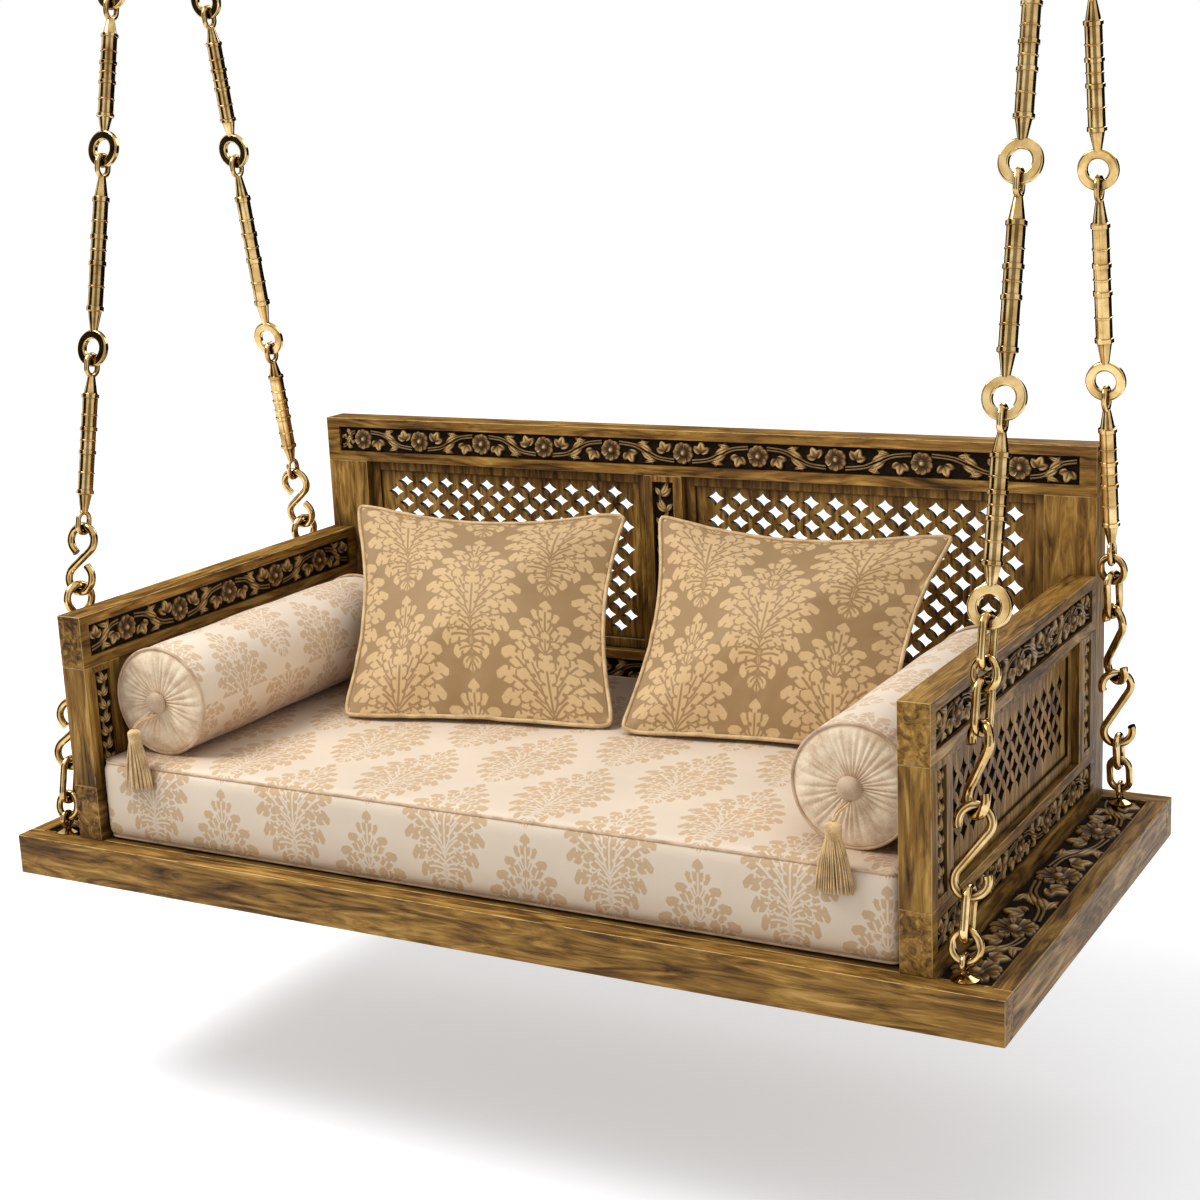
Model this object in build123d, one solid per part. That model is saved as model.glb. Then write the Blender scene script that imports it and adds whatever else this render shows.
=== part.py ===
"""Jhoola swing: a carved wooden seat hung on four brass chains, in millimetres.

The seat is drawn with the middle of its deck top at 0, 0, 0: X along the seat, Y to the back, Z up.
On saving, every node moves so that 0, 0, 0 lies on the ceiling, midway between the two hooks.
"""
from build123d import *
from math import asin, atan2, cos, degrees, hypot, radians, sin
import os

# Deck
DECK_LENGTH = 1826.0
DECK_FRONT_Y = -475.0
DECK_REAR_Y = 458.0
DECK_THICKNESS = 71.0
DECK_RAIL_WIDTH = 36.0
DECK_END_RAIL_WIDTH = 29.0
DECK_BOARD_THICKNESS = 22.0
DECK_BOARD_COUNT = 5
DECK_BOARD_GAP = 2.0
BATTEN_WIDTH = 60.0
INNER_BATTEN_COUNT = 3

# Arms and back, heights above the deck top
ARM_THICKNESS = 50.0
ARM_END_SETBACK = 117.0
ARM_HEIGHT = 406.0
ARM_FRONT_SETBACK = 33.0
ARM_TOP_RAIL_HEIGHT = 93.0
ARM_BOTTOM_RAIL_HEIGHT = 98.0
ARM_FRONT_POST_WIDTH = 92.0
ARM_REAR_POST_WIDTH = 92.0
BACK_HEIGHT = 630.0
BACK_THICKNESS = 57.0
BACK_FRONT_Y = 380.0
BACK_TOP_RAIL_HEIGHT = 87.0
BACK_BOTTOM_RAIL_HEIGHT = 196.0
BACK_POST_WIDTH = 92.0
MULLION_WIDTH = 80.0
MULLION_OFFSET = -30.0
WOOD_EASE = 1.6

# Carved bands let into the wood
CARVING_DEPTH = 7.0
CARVING_SINK = 1.5
BAND_MARGIN_TOP = 18.0
BAND_MARGIN_END = 30.0
TOP_BAND_HEIGHT = 50.0
ARM_BAND_HEIGHT = 56.0
ARM_LOW_BAND_HEIGHT = 52.0
ARM_BAND_END = 22.0
STRIP_WIDTH = 38.0
STRIP_EDGE = 26.0
STRIP_END = 12.0
BACK_LOW_BAND_HEIGHT = 50.0
MULLION_STRIP_WIDTH = 44.0
DECK_CARVING_INSET = 4.0

# Pierced jali panels
JALI_THICKNESS = 12.0
JALI_FRAME_WIDTH = 20.0
JALI_FRAME_THICKNESS = 24.0
JALI_PITCH = 48.0
JALI_ROW_PITCH = 44.0
STAR_HALF_WIDTH = 18.0
STAR_HALF_HEIGHT = 16.0
STAR_WAIST = 0.775
JALI_MARGIN = 5.0
ARM_JALI_PITCH = 44.0
ARM_JALI_ROW_PITCH = 48.0
ARM_STAR_HALF_WIDTH = 16.5
ARM_STAR_HALF_HEIGHT = 18.0

# Upholstery
SOFT_GAP = 0.3
MATTRESS_THICKNESS = 147.0
MATTRESS_FRONT_SETBACK = 45.0
MATTRESS_EDGE = 16.0
BOLSTER_DIAMETER = 196.0
BOLSTER_FRONT_Y = -375.0
BOLSTER_LENGTH = 622.0
BOLSTER_EDGE = 14.0
BUTTON_DIAMETER = 39.0
BUTTON_HEIGHT = 13.0
TASSEL_HEAD_DROP = 52.0
TASSEL_LENGTH = 138.0
TASSEL_HEAD_RADIUS = 9.5
TASSEL_SKIRT_WIDTH = 52.0
TASSEL_SKIRT_DEPTH = 19.0
TASSEL_NECK_RADIUS = 8.0
CUSHION_THICKNESS = 150.0
CUSHION_EDGE = 16.0
CUSHION_SIDE_FULLNESS = 4.0
CUSHION_FOOT_LIFT = 6.0

# Corners of the leaning cushions, from the lower left round: distance in from the bolster on their
# own side, distance in front of the back, and height above their foot
CUSHION_CORNERS = {
    "left": ((81, 457, 0), (583, 351, 0), (455, 28, 318), (-100, 130, 333)),
    "right": ((490, 366, 0), (2, 318, 0), (-11, 28, 324), (579, 28, 314)),
}

# Chains, measured up from the deck top
CHAIN_TO_ARM = 42.0
FRONT_EYE_Y = -425.0
REAR_EYE_Y = 396.0
HOOK_Y = 47.5
MEETING_HEIGHT = 2110.0
CHAIN_GAP = 0.5
LINK_WIRE = 12.5
S_WIRE = 14.0
S_LOOP_RADIUS = 17.0
EIGHT_LOOP_RADIUS = 18.0
OVAL_INNER_WIDTH = 21.0
RING_INNER_LENGTH = 31.0
SHORT_OVAL_INNER_LENGTH = 44.0
OVAL_INNER_LENGTH = 62.0
ROD_RADIUS = 13.5
COLLAR_RADIUS = 15.5
COLLAR_EASE = 0.8
BEAD_RADIUS = 14.9
CONE_RADIUS = 12.0
NECK_RADIUS = 6.5
ROD_RING_HOLE = 17.0
ROD_RING_OUTER = 33.0
ROD_RING_THICKNESS = 11.0
ROD_RING_EASE = 3.3
LOOP_WIRE = 9.5
LOOP_INNER_WIDTH = 18.0
LOOP_INNER_LENGTH = 27.0
EYE_WIRE = 8.0
EYE_HOLE_RADIUS = 8.5
EYE_HEIGHT = 24.0
EYE_SHANK_DIAMETER = 12.0
FLANGE_RADIUS = 21.0
FLANGE_HEIGHT = 7.0
FLANGE_RIM = 1.75
FLANGE_CROWN = (14.7, 4.2)
FLANGE_FLAT_RADIUS = 8.0
NUT_WIDTH = 19.0
NUT_HEIGHT = 10.0
WASHER_RADIUS = 17.0
WASHER_THICKNESS = 3.0
THREAD_PAST_NUT = 3.0

# Ceiling fittings
HANGER_RING_RADIUS = 44.0
HANGER_WIRE = 12.0
HOOK_BAR = 16.0
HOOK_BOWL_RADIUS = 27.0
HOOK_SHANK = 34.0
PLATE_SIZE = 120.0
PLATE_THICKNESS = 8.0
PLATE_HOLE_SPACING = 84.0
PLATE_HOLE_RADIUS = 4.5
BOSS_RADIUS = 17.0
BOSS_HEIGHT = 14.0

# Frame bolts and screws
BOLT_DIAMETER = 10.0
BOLT_HEAD_RADIUS = 11.0
BOLT_HEAD_HEIGHT = 6.0
BOLT_GRIP = 60.0
SCREW_DIAMETER = 7.0
SCREW_LENGTH = 80.0
HOLE_CLEARANCE = 0.3

# Worked out
SIDES = {"left": -1, "right": 1}
half_length = DECK_LENGTH / 2
arm_outer_x = half_length - ARM_END_SETBACK
arm_inner_x = arm_outer_x - ARM_THICKNESS
chain_x = arm_outer_x + CHAIN_TO_ARM
arm_front_y = DECK_FRONT_Y + ARM_FRONT_SETBACK
mattress_front_y = DECK_FRONT_Y + MATTRESS_FRONT_SETBACK
back_rear_y = BACK_FRONT_Y + BACK_THICKNESS
boards_front_y = DECK_FRONT_Y + DECK_RAIL_WIDTH
boards_rear_y = DECK_REAR_Y - DECK_RAIL_WIDTH
end_board_outer_x = half_length - DECK_END_RAIL_WIDTH
batten_bottom = -DECK_THICKNESS
board_bottom = -DECK_BOARD_THICKNESS
front_post_rear_y = arm_front_y + ARM_FRONT_POST_WIDTH
rear_post_front_y = BACK_FRONT_Y - ARM_REAR_POST_WIDTH
arm_post_top = ARM_HEIGHT - ARM_TOP_RAIL_HEIGHT
back_post_top = BACK_HEIGHT - BACK_TOP_RAIL_HEIGHT
back_post_inner_x = arm_outer_x - BACK_POST_WIDTH
bolster_x = arm_inner_x - SOFT_GAP - BOLSTER_DIAMETER / 2
bolster_z = MATTRESS_THICKNESS + SOFT_GAP + BOLSTER_DIAMETER / 2
bolster_middle_y = BOLSTER_FRONT_Y + BOLSTER_LENGTH / 2
bolster_inner_x = bolster_x - BOLSTER_DIAMETER / 2
hook_axis_height = MEETING_HEIGHT + HANGER_RING_RADIUS - HANGER_WIRE / 2 - HOOK_BAR / 2 - CHAIN_GAP
ceiling_height = hook_axis_height + HOOK_BOWL_RADIUS + HOOK_SHANK + HOOK_BOWL_RADIUS + PLATE_THICKNESS
to_ceiling = Location((0, -HOOK_Y, -ceiling_height))

# Turned rods: middles of the collars and beads, and widths, as shares of the barrel
CONE_SHARE = 0.13
COLLAR_SHARE = 0.032
BEAD_SHARE = 0.013
COLLARS = (0.15, 0.44, 0.61, 0.85)
BEADS = (0.29, 0.525, 0.71)

# Heights of the lower rods' ends above the deck, lowest first, and what hangs below them
CHAINS = {
    "front_right": {"eye_y": FRONT_EYE_Y, "rods": (517.0, 803.0, 1124.0), "foot": "ring", "hooks": "open"},
    "rear_right": {"eye_y": REAR_EYE_Y, "rods": (448.0, 756.0, 1094.0), "foot": "loop", "hooks": "open"},
    "front_left": {"eye_y": FRONT_EYE_Y, "rods": (529.0, 845.0, 1189.0), "foot": "loop", "hooks": "eight"},
    "rear_left": {"eye_y": REAR_EYE_Y, "rods": (520.0, 804.0, 1171.0), "foot": "loop", "hooks": "eight"},
}
ROD_COUNT = 5
TOP_LINK_INNER_LENGTH = 90.0

nodes = {}


def save(name, *solids):
    """Keep the solids of one node, moved to the ceiling's frame."""
    moved = [solid.moved(to_ceiling) for shape in solids for solid in shape.solids()]
    nodes[name] = moved[0] if len(moved) == 1 else Compound(children=moved)


def block(x_span, y_span, z_span):
    """Plain block between three pairs of coordinates."""
    spans = [sorted(span) for span in (x_span, y_span, z_span)]
    centre = [(low + high) / 2 for low, high in spans]
    return Pos(*centre) * Box(*[high - low for low, high in spans])


def board(x_span, y_span, z_span):
    """Block of wood with all its edges eased."""
    solid = block(x_span, y_span, z_span)
    return fillet(solid.edges(), WOOD_EASE)


def rod_along_z(radius, low, high, x=0.0, y=0.0):
    """Round bar upright between two heights."""
    return Pos(x, y, (low + high) / 2) * Cylinder(radius, high - low)


def mirrored(solid, side):
    """The right-hand solid, or its mirror image on the left."""
    return solid if side > 0 else mirror(solid, about=Plane.YZ)


# ---------------------------------------------------------------- deck


def batten_places():
    """Middles of the cross battens: one under each row of eye bolts and each arm, the rest between."""
    arm_middle = arm_inner_x + ARM_THICKNESS / 2
    step = 2 * arm_middle / (INNER_BATTEN_COUNT + 1)
    between = [-arm_middle + step * number for number in range(INNER_BATTEN_COUNT + 2)]
    return [-chain_x] + between + [chain_x]


def arm_bolt_places():
    """Where bolts come up through the deck into the arms, and into the back rail."""
    arm_x = arm_outer_x - ARM_THICKNESS / 2
    along_arm = [front_post_rear_y - ARM_FRONT_POST_WIDTH / 2, rear_post_front_y]
    back_y = BACK_FRONT_Y + BACK_THICKNESS / 2
    arms = [(side * arm_x, y) for side in SIDES.values() for y in along_arm]
    return arms + [(x, back_y) for x in (-arm_inner_x / 2, arm_inner_x / 2)]


def deck_holes():
    """Clearance holes through the deck for eye bolts and frame bolts."""
    eye_radius = EYE_SHANK_DIAMETER / 2 + HOLE_CLEARANCE
    eyes = [rod_along_z(eye_radius, batten_bottom - 1, 1, side * chain_x, y)
            for side in SIDES.values() for y in (FRONT_EYE_Y, REAR_EYE_Y)]
    return eyes + bolt_sockets()


def bolt_sockets():
    """Clearance holes for the frame bolts, through the deck and up into the rails."""
    radius = BOLT_DIAMETER / 2 + HOLE_CLEARANCE
    return [rod_along_z(radius, batten_bottom - 1, BOLT_GRIP + 1, x, y) for x, y in arm_bolt_places()]


def make_deck():
    holes = deck_holes()
    rail_heights = (-DECK_THICKNESS, 0)
    front = board((-half_length, half_length), (DECK_FRONT_Y, boards_front_y), rail_heights)
    rear = board((-half_length, half_length), (boards_rear_y, DECK_REAR_Y), rail_heights)
    save("deck_front_rail", front - holes)
    save("deck_rear_rail", rear - holes)
    for name, side in SIDES.items():
        rail = board((end_board_outer_x, half_length), (boards_front_y, boards_rear_y), rail_heights)
        save("deck_end_rail_" + name, mirrored(rail, side))
        plank = block((arm_outer_x, end_board_outer_x), (boards_front_y, boards_rear_y), (board_bottom, 0))
        recess = deck_carving_block(0.0)
        save("deck_end_board_" + name, mirrored(plank - recess, side) - holes)
        carving = deck_carving_block(CARVING_SINK)
        save("deck_carving_" + name, mirrored(carving, side) - holes)
    pitch = (boards_rear_y - boards_front_y) / DECK_BOARD_COUNT
    planks = []
    for number in range(DECK_BOARD_COUNT):
        low = boards_front_y + pitch * number
        span = (low + DECK_BOARD_GAP / 2, low + pitch - DECK_BOARD_GAP / 2)
        planks.append(board((-arm_outer_x, arm_outer_x), span, (board_bottom, 0)) - holes)
    save("deck_boards", *planks)
    battens = [block((x - BATTEN_WIDTH / 2, x + BATTEN_WIDTH / 2), (boards_front_y, boards_rear_y),
                     (batten_bottom, board_bottom)) - holes for x in batten_places()]
    save("deck_battens", *battens)


def deck_carving_block(sink):
    """Carved strip between the arm and the end rail; the recess when nothing is sunk."""
    x_span = (arm_outer_x + DECK_CARVING_INSET, end_board_outer_x - DECK_CARVING_INSET)
    y_span = (boards_front_y + DECK_CARVING_INSET, boards_rear_y - DECK_CARVING_INSET)
    top = -sink if sink else 1
    return block(x_span, y_span, (-CARVING_DEPTH, top))


# ---------------------------------------------------------------- jali panels


def star(x, z, half_width, half_height):
    """Four-pointed opening with hollow sides, as an edge loop in the XZ plane."""
    points = [(x + half_width, z), (x, z + half_height), (x - half_width, z), (x, z - half_height)]
    edges = []
    for number, start in enumerate(points):
        end = points[(number + 1) % 4]
        waist = (x + (start[0] + end[0] - 2 * x) / 2 * STAR_WAIST,
                 z + (start[1] + end[1] - 2 * z) / 2 * STAR_WAIST)
        edges.append(ThreePointArc((start[0], 0, start[1]), (waist[0], 0, waist[1]), (end[0], 0, end[1])))
    return Wire(edges)


def star_rows(width, height, pitch, row_pitch, half_width, half_height):
    """Centres of the staggered openings of one panel that lie whole inside it."""
    across = width / 2 - half_width - JALI_MARGIN
    up = height / 2 - half_height - JALI_MARGIN
    rows = int(up / (row_pitch / 2))
    places = []
    for row in range(-rows, rows + 1):
        shift = pitch / 2 if row % 2 else 0.0
        count = int((across - shift) / pitch)
        columns = [shift + pitch * number for number in range(-count - 1, count + 1)]
        places += [(x, row * row_pitch / 2) for x in columns if abs(x) <= across]
    return places


def jali(width, height, pitch, row_pitch, half_width, half_height):
    """Pierced panel in its moulded frame, middle at 0, 0, 0, facing Y."""
    inner_width = width - 2 * JALI_FRAME_WIDTH
    inner_height = height - 2 * JALI_FRAME_WIDTH
    half_x = inner_width / 2
    half_z = inner_height / 2
    low_corners = [(-half_x, 0, -half_z), (half_x, 0, -half_z)]
    high_corners = [(half_x, 0, half_z), (-half_x, 0, half_z)]
    rim = Wire.make_polygon(low_corners + high_corners)
    holes = [star(x, z, half_width, half_height)
             for x, z in star_rows(inner_width, inner_height, pitch, row_pitch, half_width, half_height)]
    sheet = extrude(Face(rim, holes), JALI_THICKNESS / 2, dir=(0, 1, 0), both=True)
    frame = Box(width, JALI_FRAME_THICKNESS, height)
    frame -= Box(inner_width, 2 * JALI_FRAME_THICKNESS, inner_height)
    outer_edges = frame.edges().filter_by(lambda edge: abs(edge.center().Y) > JALI_FRAME_THICKNESS / 4)
    return chamfer(outer_edges, WOOD_EASE) + sheet


# ---------------------------------------------------------------- back


def band(x_span, face_y, facing, z_span, sink=0.0):
    """Carved band on a face that looks along Y; the recess when nothing is sunk."""
    inner = face_y - facing * CARVING_DEPTH
    outer = face_y - facing * sink if sink else face_y + facing
    return block(x_span, (inner, outer), z_span)


def make_back():
    faces = ((BACK_FRONT_Y, -1), (back_rear_y, 1))
    y_span = (BACK_FRONT_Y, back_rear_y)
    top_band_x = (-arm_outer_x + BAND_MARGIN_END, arm_outer_x - BAND_MARGIN_END)
    top_band_z = (BACK_HEIGHT - BAND_MARGIN_TOP - TOP_BAND_HEIGHT, BACK_HEIGHT - BAND_MARGIN_TOP)
    low_band_x = (-back_post_inner_x, back_post_inner_x)
    low_band_top = BACK_BOTTOM_RAIL_HEIGHT - BAND_MARGIN_TOP
    low_band_z = (low_band_top - BACK_LOW_BAND_HEIGHT, low_band_top)
    mullion_x = (MULLION_OFFSET - MULLION_WIDTH / 2, MULLION_OFFSET + MULLION_WIDTH / 2)
    strip_x = (MULLION_OFFSET - MULLION_STRIP_WIDTH / 2, MULLION_OFFSET + MULLION_STRIP_WIDTH / 2)
    strip_z = (BACK_BOTTOM_RAIL_HEIGHT + STRIP_END, back_post_top - STRIP_END)

    top_rail = board((-arm_outer_x, arm_outer_x), y_span, (back_post_top, BACK_HEIGHT))
    save("back_top_rail", top_rail - [band(top_band_x, y, facing, top_band_z) for y, facing in faces])
    bottom_rail = board((-back_post_inner_x, back_post_inner_x), y_span, (0, BACK_BOTTOM_RAIL_HEIGHT))
    recesses = [band(low_band_x, y, facing, low_band_z) for y, facing in faces]
    sockets = bolt_sockets()
    save("back_bottom_rail", bottom_rail - recesses - sockets)
    screws = arm_screws(HOLE_CLEARANCE)
    for name, side in SIDES.items():
        post = board((back_post_inner_x, arm_outer_x), y_span, (0, back_post_top))
        save("back_post_" + name, mirrored(post - screws, side))
    mullion = board(mullion_x, y_span, (BACK_BOTTOM_RAIL_HEIGHT, back_post_top))
    save("back_mullion", mullion - [band(strip_x, y, facing, strip_z) for y, facing in faces])

    carvings = {"back_top_carving": (top_band_x, top_band_z), "back_low_carving": (low_band_x, low_band_z),
                "mullion_carving": (strip_x, strip_z)}
    for name, (x_span, z_span) in carvings.items():
        save(name, *[band(x_span, y, facing, z_span, CARVING_SINK) for y, facing in faces])

    panel_height = back_post_top - BACK_BOTTOM_RAIL_HEIGHT
    middle_z = BACK_BOTTOM_RAIL_HEIGHT + panel_height / 2
    middle_y = BACK_FRONT_Y + BACK_THICKNESS / 2
    openings = {"left": (-back_post_inner_x, mullion_x[0]), "right": (mullion_x[1], back_post_inner_x)}
    for name, (low, high) in openings.items():
        panel = jali(high - low, panel_height, JALI_PITCH, JALI_ROW_PITCH,
                     STAR_HALF_WIDTH, STAR_HALF_HEIGHT)
        save("back_jali_" + name, Pos((low + high) / 2, middle_y, middle_z) * panel)


# ---------------------------------------------------------------- arms


def arm_screws(clearance):
    """Two screws from behind the back post into the right arm's rails."""
    x = arm_outer_x - ARM_THICKNESS / 2
    heights = (ARM_BOTTOM_RAIL_HEIGHT / 2, ARM_HEIGHT - ARM_TOP_RAIL_HEIGHT / 2)
    shank = SCREW_DIAMETER / 2 + clearance
    head = SCREW_DIAMETER + clearance
    screws = []
    for z in heights:
        along = Pos(x, back_rear_y, z) * Rot(90, 0, 0)
        body = along * Pos(0, 0, SCREW_LENGTH / 2) * Cylinder(shank, SCREW_LENGTH + 2 * clearance)
        cap = along * Pos(0, 0, SCREW_DIAMETER / 4) * Cylinder(head, SCREW_DIAMETER / 2)
        screws.append(body + cap)
    return screws


def side_band(face_x, facing, y_span, z_span, sink=0.0):
    """Carved band on a face that looks along X; the recess when nothing is sunk."""
    inner = face_x - facing * CARVING_DEPTH
    outer = face_x - facing * sink if sink else face_x + facing
    return block((inner, outer), y_span, z_span)


def make_arm(name, side):
    faces = ((arm_outer_x, 1), (arm_inner_x, -1))
    x_span = (arm_inner_x, arm_outer_x)
    full_y = (arm_front_y, BACK_FRONT_Y)
    band_y = (arm_front_y + ARM_BAND_END, BACK_FRONT_Y - ARM_BAND_END)
    top_band_z = (ARM_HEIGHT - BAND_MARGIN_TOP - ARM_BAND_HEIGHT, ARM_HEIGHT - BAND_MARGIN_TOP)
    low_band_top = ARM_BOTTOM_RAIL_HEIGHT - BAND_MARGIN_TOP
    low_band_z = (low_band_top - ARM_LOW_BAND_HEIGHT, low_band_top)
    strip_z = (ARM_BOTTOM_RAIL_HEIGHT + STRIP_END, arm_post_top - STRIP_END)
    front_strip_y = (arm_front_y + STRIP_EDGE, arm_front_y + STRIP_EDGE + STRIP_WIDTH)
    rear_strip_y = (BACK_FRONT_Y - STRIP_EDGE - STRIP_WIDTH, BACK_FRONT_Y - STRIP_EDGE)
    screws = arm_screws(HOLE_CLEARANCE)
    sockets = bolt_sockets()

    top_rail = board(x_span, full_y, (arm_post_top, ARM_HEIGHT))
    top_rail -= [side_band(x, facing, band_y, top_band_z) for x, facing in faces]
    save("arm_top_rail_" + name, mirrored(top_rail - screws, side))
    bottom_rail = board(x_span, full_y, (0, ARM_BOTTOM_RAIL_HEIGHT))
    bottom_rail -= [side_band(x, facing, band_y, low_band_z) for x, facing in faces]
    save("arm_bottom_rail_" + name, mirrored(bottom_rail - screws - sockets, side))
    posts = {"front": ((arm_front_y, front_post_rear_y), front_strip_y),
             "rear": ((rear_post_front_y, BACK_FRONT_Y), rear_strip_y)}
    for place, (post_y, strip_y) in posts.items():
        post = board(x_span, post_y, (ARM_BOTTOM_RAIL_HEIGHT, arm_post_top))
        post -= [side_band(x, facing, strip_y, strip_z) for x, facing in faces]
        save("arm_%s_post_%s" % (place, name), mirrored(post, side))

    bands = [side_band(x, facing, band_y, heights, CARVING_SINK)
             for x, facing in faces for heights in (top_band_z, low_band_z)]
    strips = [side_band(x, facing, strip_y, strip_z, CARVING_SINK)
              for x, facing in faces for strip_y in (front_strip_y, rear_strip_y)]
    save("arm_bands_" + name, *[mirrored(piece, side) for piece in bands])
    save("arm_strips_" + name, *[mirrored(piece, side) for piece in strips])

    panel_length = rear_post_front_y - front_post_rear_y
    panel_height = arm_post_top - ARM_BOTTOM_RAIL_HEIGHT
    panel = jali(panel_length, panel_height, ARM_JALI_PITCH, ARM_JALI_ROW_PITCH,
                 ARM_STAR_HALF_WIDTH, ARM_STAR_HALF_HEIGHT)
    middle = (arm_outer_x - ARM_THICKNESS / 2, (front_post_rear_y + rear_post_front_y) / 2,
              ARM_BOTTOM_RAIL_HEIGHT + panel_height / 2)
    save("arm_jali_" + name, mirrored(Pos(*middle) * Rot(0, 0, 90) * panel, side))


# ---------------------------------------------------------------- fasteners


def make_frame_bolts():
    """Bolts that come up through the deck, with their heads under the battens, boards and rails."""
    bolts = []
    for x, y in arm_bolt_places():
        under_board = boards_front_y < y < boards_rear_y and not under_batten(x)
        underside = board_bottom if under_board else batten_bottom
        shank = rod_along_z(BOLT_DIAMETER / 2, underside, BOLT_GRIP, x, y)
        head = rod_along_z(BOLT_HEAD_RADIUS, underside - BOLT_HEAD_HEIGHT, underside, x, y)
        bolts.append(shank + head)
    save("frame_bolts", *bolts)
    screws = arm_screws(0.0)
    save("arm_screws", *[mirrored(screw, side) for side in SIDES.values() for screw in screws])


def under_batten(x):
    """Whether a bolt at this x comes up through a batten."""
    return any(abs(x - place) < BATTEN_WIDTH / 2 for place in batten_places())


# ---------------------------------------------------------------- upholstery


def lens(width, thickness, edge, length):
    """Bar whose section is two shallow arcs with a blunt edge, as long as a cushion face."""
    half = width / 2
    section = make_face([
        ThreePointArc((-half, edge / 2), (0, thickness / 2), (half, edge / 2)),
        Line((half, edge / 2), (half, -edge / 2)),
        ThreePointArc((half, -edge / 2), (0, -thickness / 2), (-half, -edge / 2)),
        Line((-half, -edge / 2), (-half, edge / 2)),
    ])
    return extrude(section, length / 2, both=True)


def cushion(corners):
    """Plump cushion through four corners, given as lower left, lower right, upper right, upper left."""
    lower_left, lower_right, upper_right, upper_left = [Vector(*corner) for corner in corners]
    middle = (lower_left + lower_right + upper_right + upper_left) * 0.25
    across = ((lower_right - lower_left) + (upper_right - upper_left)) * 0.5
    up = ((upper_left - lower_left) + (upper_right - lower_right)) * 0.5
    flat = Plane(origin=middle, x_dir=across, z_dir=across.cross(up))
    spare = CUSHION_EDGE
    face_lens = Rot(90, 0, 0) * lens(across.length, CUSHION_THICKNESS, CUSHION_EDGE, up.length + spare)
    side_thickness = CUSHION_THICKNESS + CUSHION_SIDE_FULLNESS
    side_lens = Rot(0, 90, 0) * lens(up.length, side_thickness, CUSHION_EDGE, across.length + spare)
    return flat * (face_lens & Rot(90, 0, 0) * side_lens)


def cushion_keep_out():
    """Mattress, back and bolsters with the soft gap round them, which the cushions lean on."""
    reach = arm_inner_x
    mattress = block((-reach, reach), (DECK_FRONT_Y, DECK_REAR_Y), (-1, MATTRESS_THICKNESS + SOFT_GAP))
    back = block((-reach, reach), (BACK_FRONT_Y - SOFT_GAP, DECK_REAR_Y), (0, BACK_HEIGHT + 1))
    roll = Rot(90, 0, 0) * Cylinder(BOLSTER_DIAMETER / 2 + SOFT_GAP, BOLSTER_LENGTH + 2 * SOFT_GAP)
    rolls = [Pos(side * bolster_x, bolster_middle_y, bolster_z) * roll for side in SIDES.values()]
    return [mattress, back] + rolls


def make_upholstery():
    mattress_x = arm_inner_x - SOFT_GAP
    mattress_y = (mattress_front_y, BACK_FRONT_Y - SOFT_GAP)
    mattress = block((-mattress_x, mattress_x), mattress_y, (SOFT_GAP, MATTRESS_THICKNESS))
    save("mattress", fillet(mattress.edges(), MATTRESS_EDGE))

    buttons = []
    tassels = []
    roll = Rot(90, 0, 0) * Cylinder(BOLSTER_DIAMETER / 2, BOLSTER_LENGTH)
    roll = fillet(roll.edges().filter_by(GeomType.CIRCLE), BOLSTER_EDGE)
    for name, side in SIDES.items():
        save("bolster_" + name, Pos(side * bolster_x, bolster_middle_y, bolster_z) * roll)
        place = Pos(side * bolster_x, BOLSTER_FRONT_Y - SOFT_GAP, bolster_z)
        buttons.append(place * Rot(90, 0, 0) * button())
        tassels.append(tassel(side * bolster_x))
    save("bolster_buttons", *buttons)
    save("tassels", *tassels)
    keep_out = cushion_keep_out()
    foot = MATTRESS_THICKNESS + CUSHION_FOOT_LIFT
    for name, corners in CUSHION_CORNERS.items():
        side = SIDES[name]
        placed = [(side * (bolster_inner_x - inward), BACK_FRONT_Y - forward, foot + height)
                  for inward, forward, height in corners]
        save("cushion_" + name, cushion(placed) - keep_out)


def button():
    """Domed covered button standing on the XY plane."""
    radius = BUTTON_DIAMETER / 2
    dome_radius = (radius ** 2 + BUTTON_HEIGHT ** 2) / (2 * BUTTON_HEIGHT)
    dome = Pos(0, 0, BUTTON_HEIGHT - dome_radius) * Sphere(dome_radius)
    return dome & block((-radius, radius), (-radius, radius), (0, BUTTON_HEIGHT + 1))


def tassel(x):
    """Wrapped head and flared skirt that hang in front of the mattress from the button's cord."""
    cord_radius = TASSEL_HEAD_RADIUS / 4
    below_button = BUTTON_DIAMETER / 2 + cord_radius + SOFT_GAP
    hang_y = mattress_front_y - SOFT_GAP - TASSEL_SKIRT_DEPTH / 2
    top = (x, BOLSTER_FRONT_Y - SOFT_GAP - cord_radius / 2, bolster_z - below_button)
    head_top = (x, hang_y, bolster_z - TASSEL_HEAD_DROP)
    skirt_top = head_top[2] - 2 * TASSEL_HEAD_RADIUS
    bottom = bolster_z - TASSEL_LENGTH
    cord_run = Vector(*head_top) - Vector(*top)
    cord_plane = Plane(origin=top, z_dir=cord_run)
    cord = extrude(cord_plane * Circle(cord_radius), cord_run.length)
    head = Pos(x, hang_y, head_top[2] - TASSEL_HEAD_RADIUS) * Sphere(TASSEL_HEAD_RADIUS)
    neck = Pos(x, hang_y, skirt_top) * Circle(TASSEL_NECK_RADIUS)
    hem = Pos(x, hang_y, bottom) * Ellipse(TASSEL_SKIRT_WIDTH / 2, TASSEL_SKIRT_DEPTH / 2)
    return cord + head + loft([neck, hem])


# ---------------------------------------------------------------- chains


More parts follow.
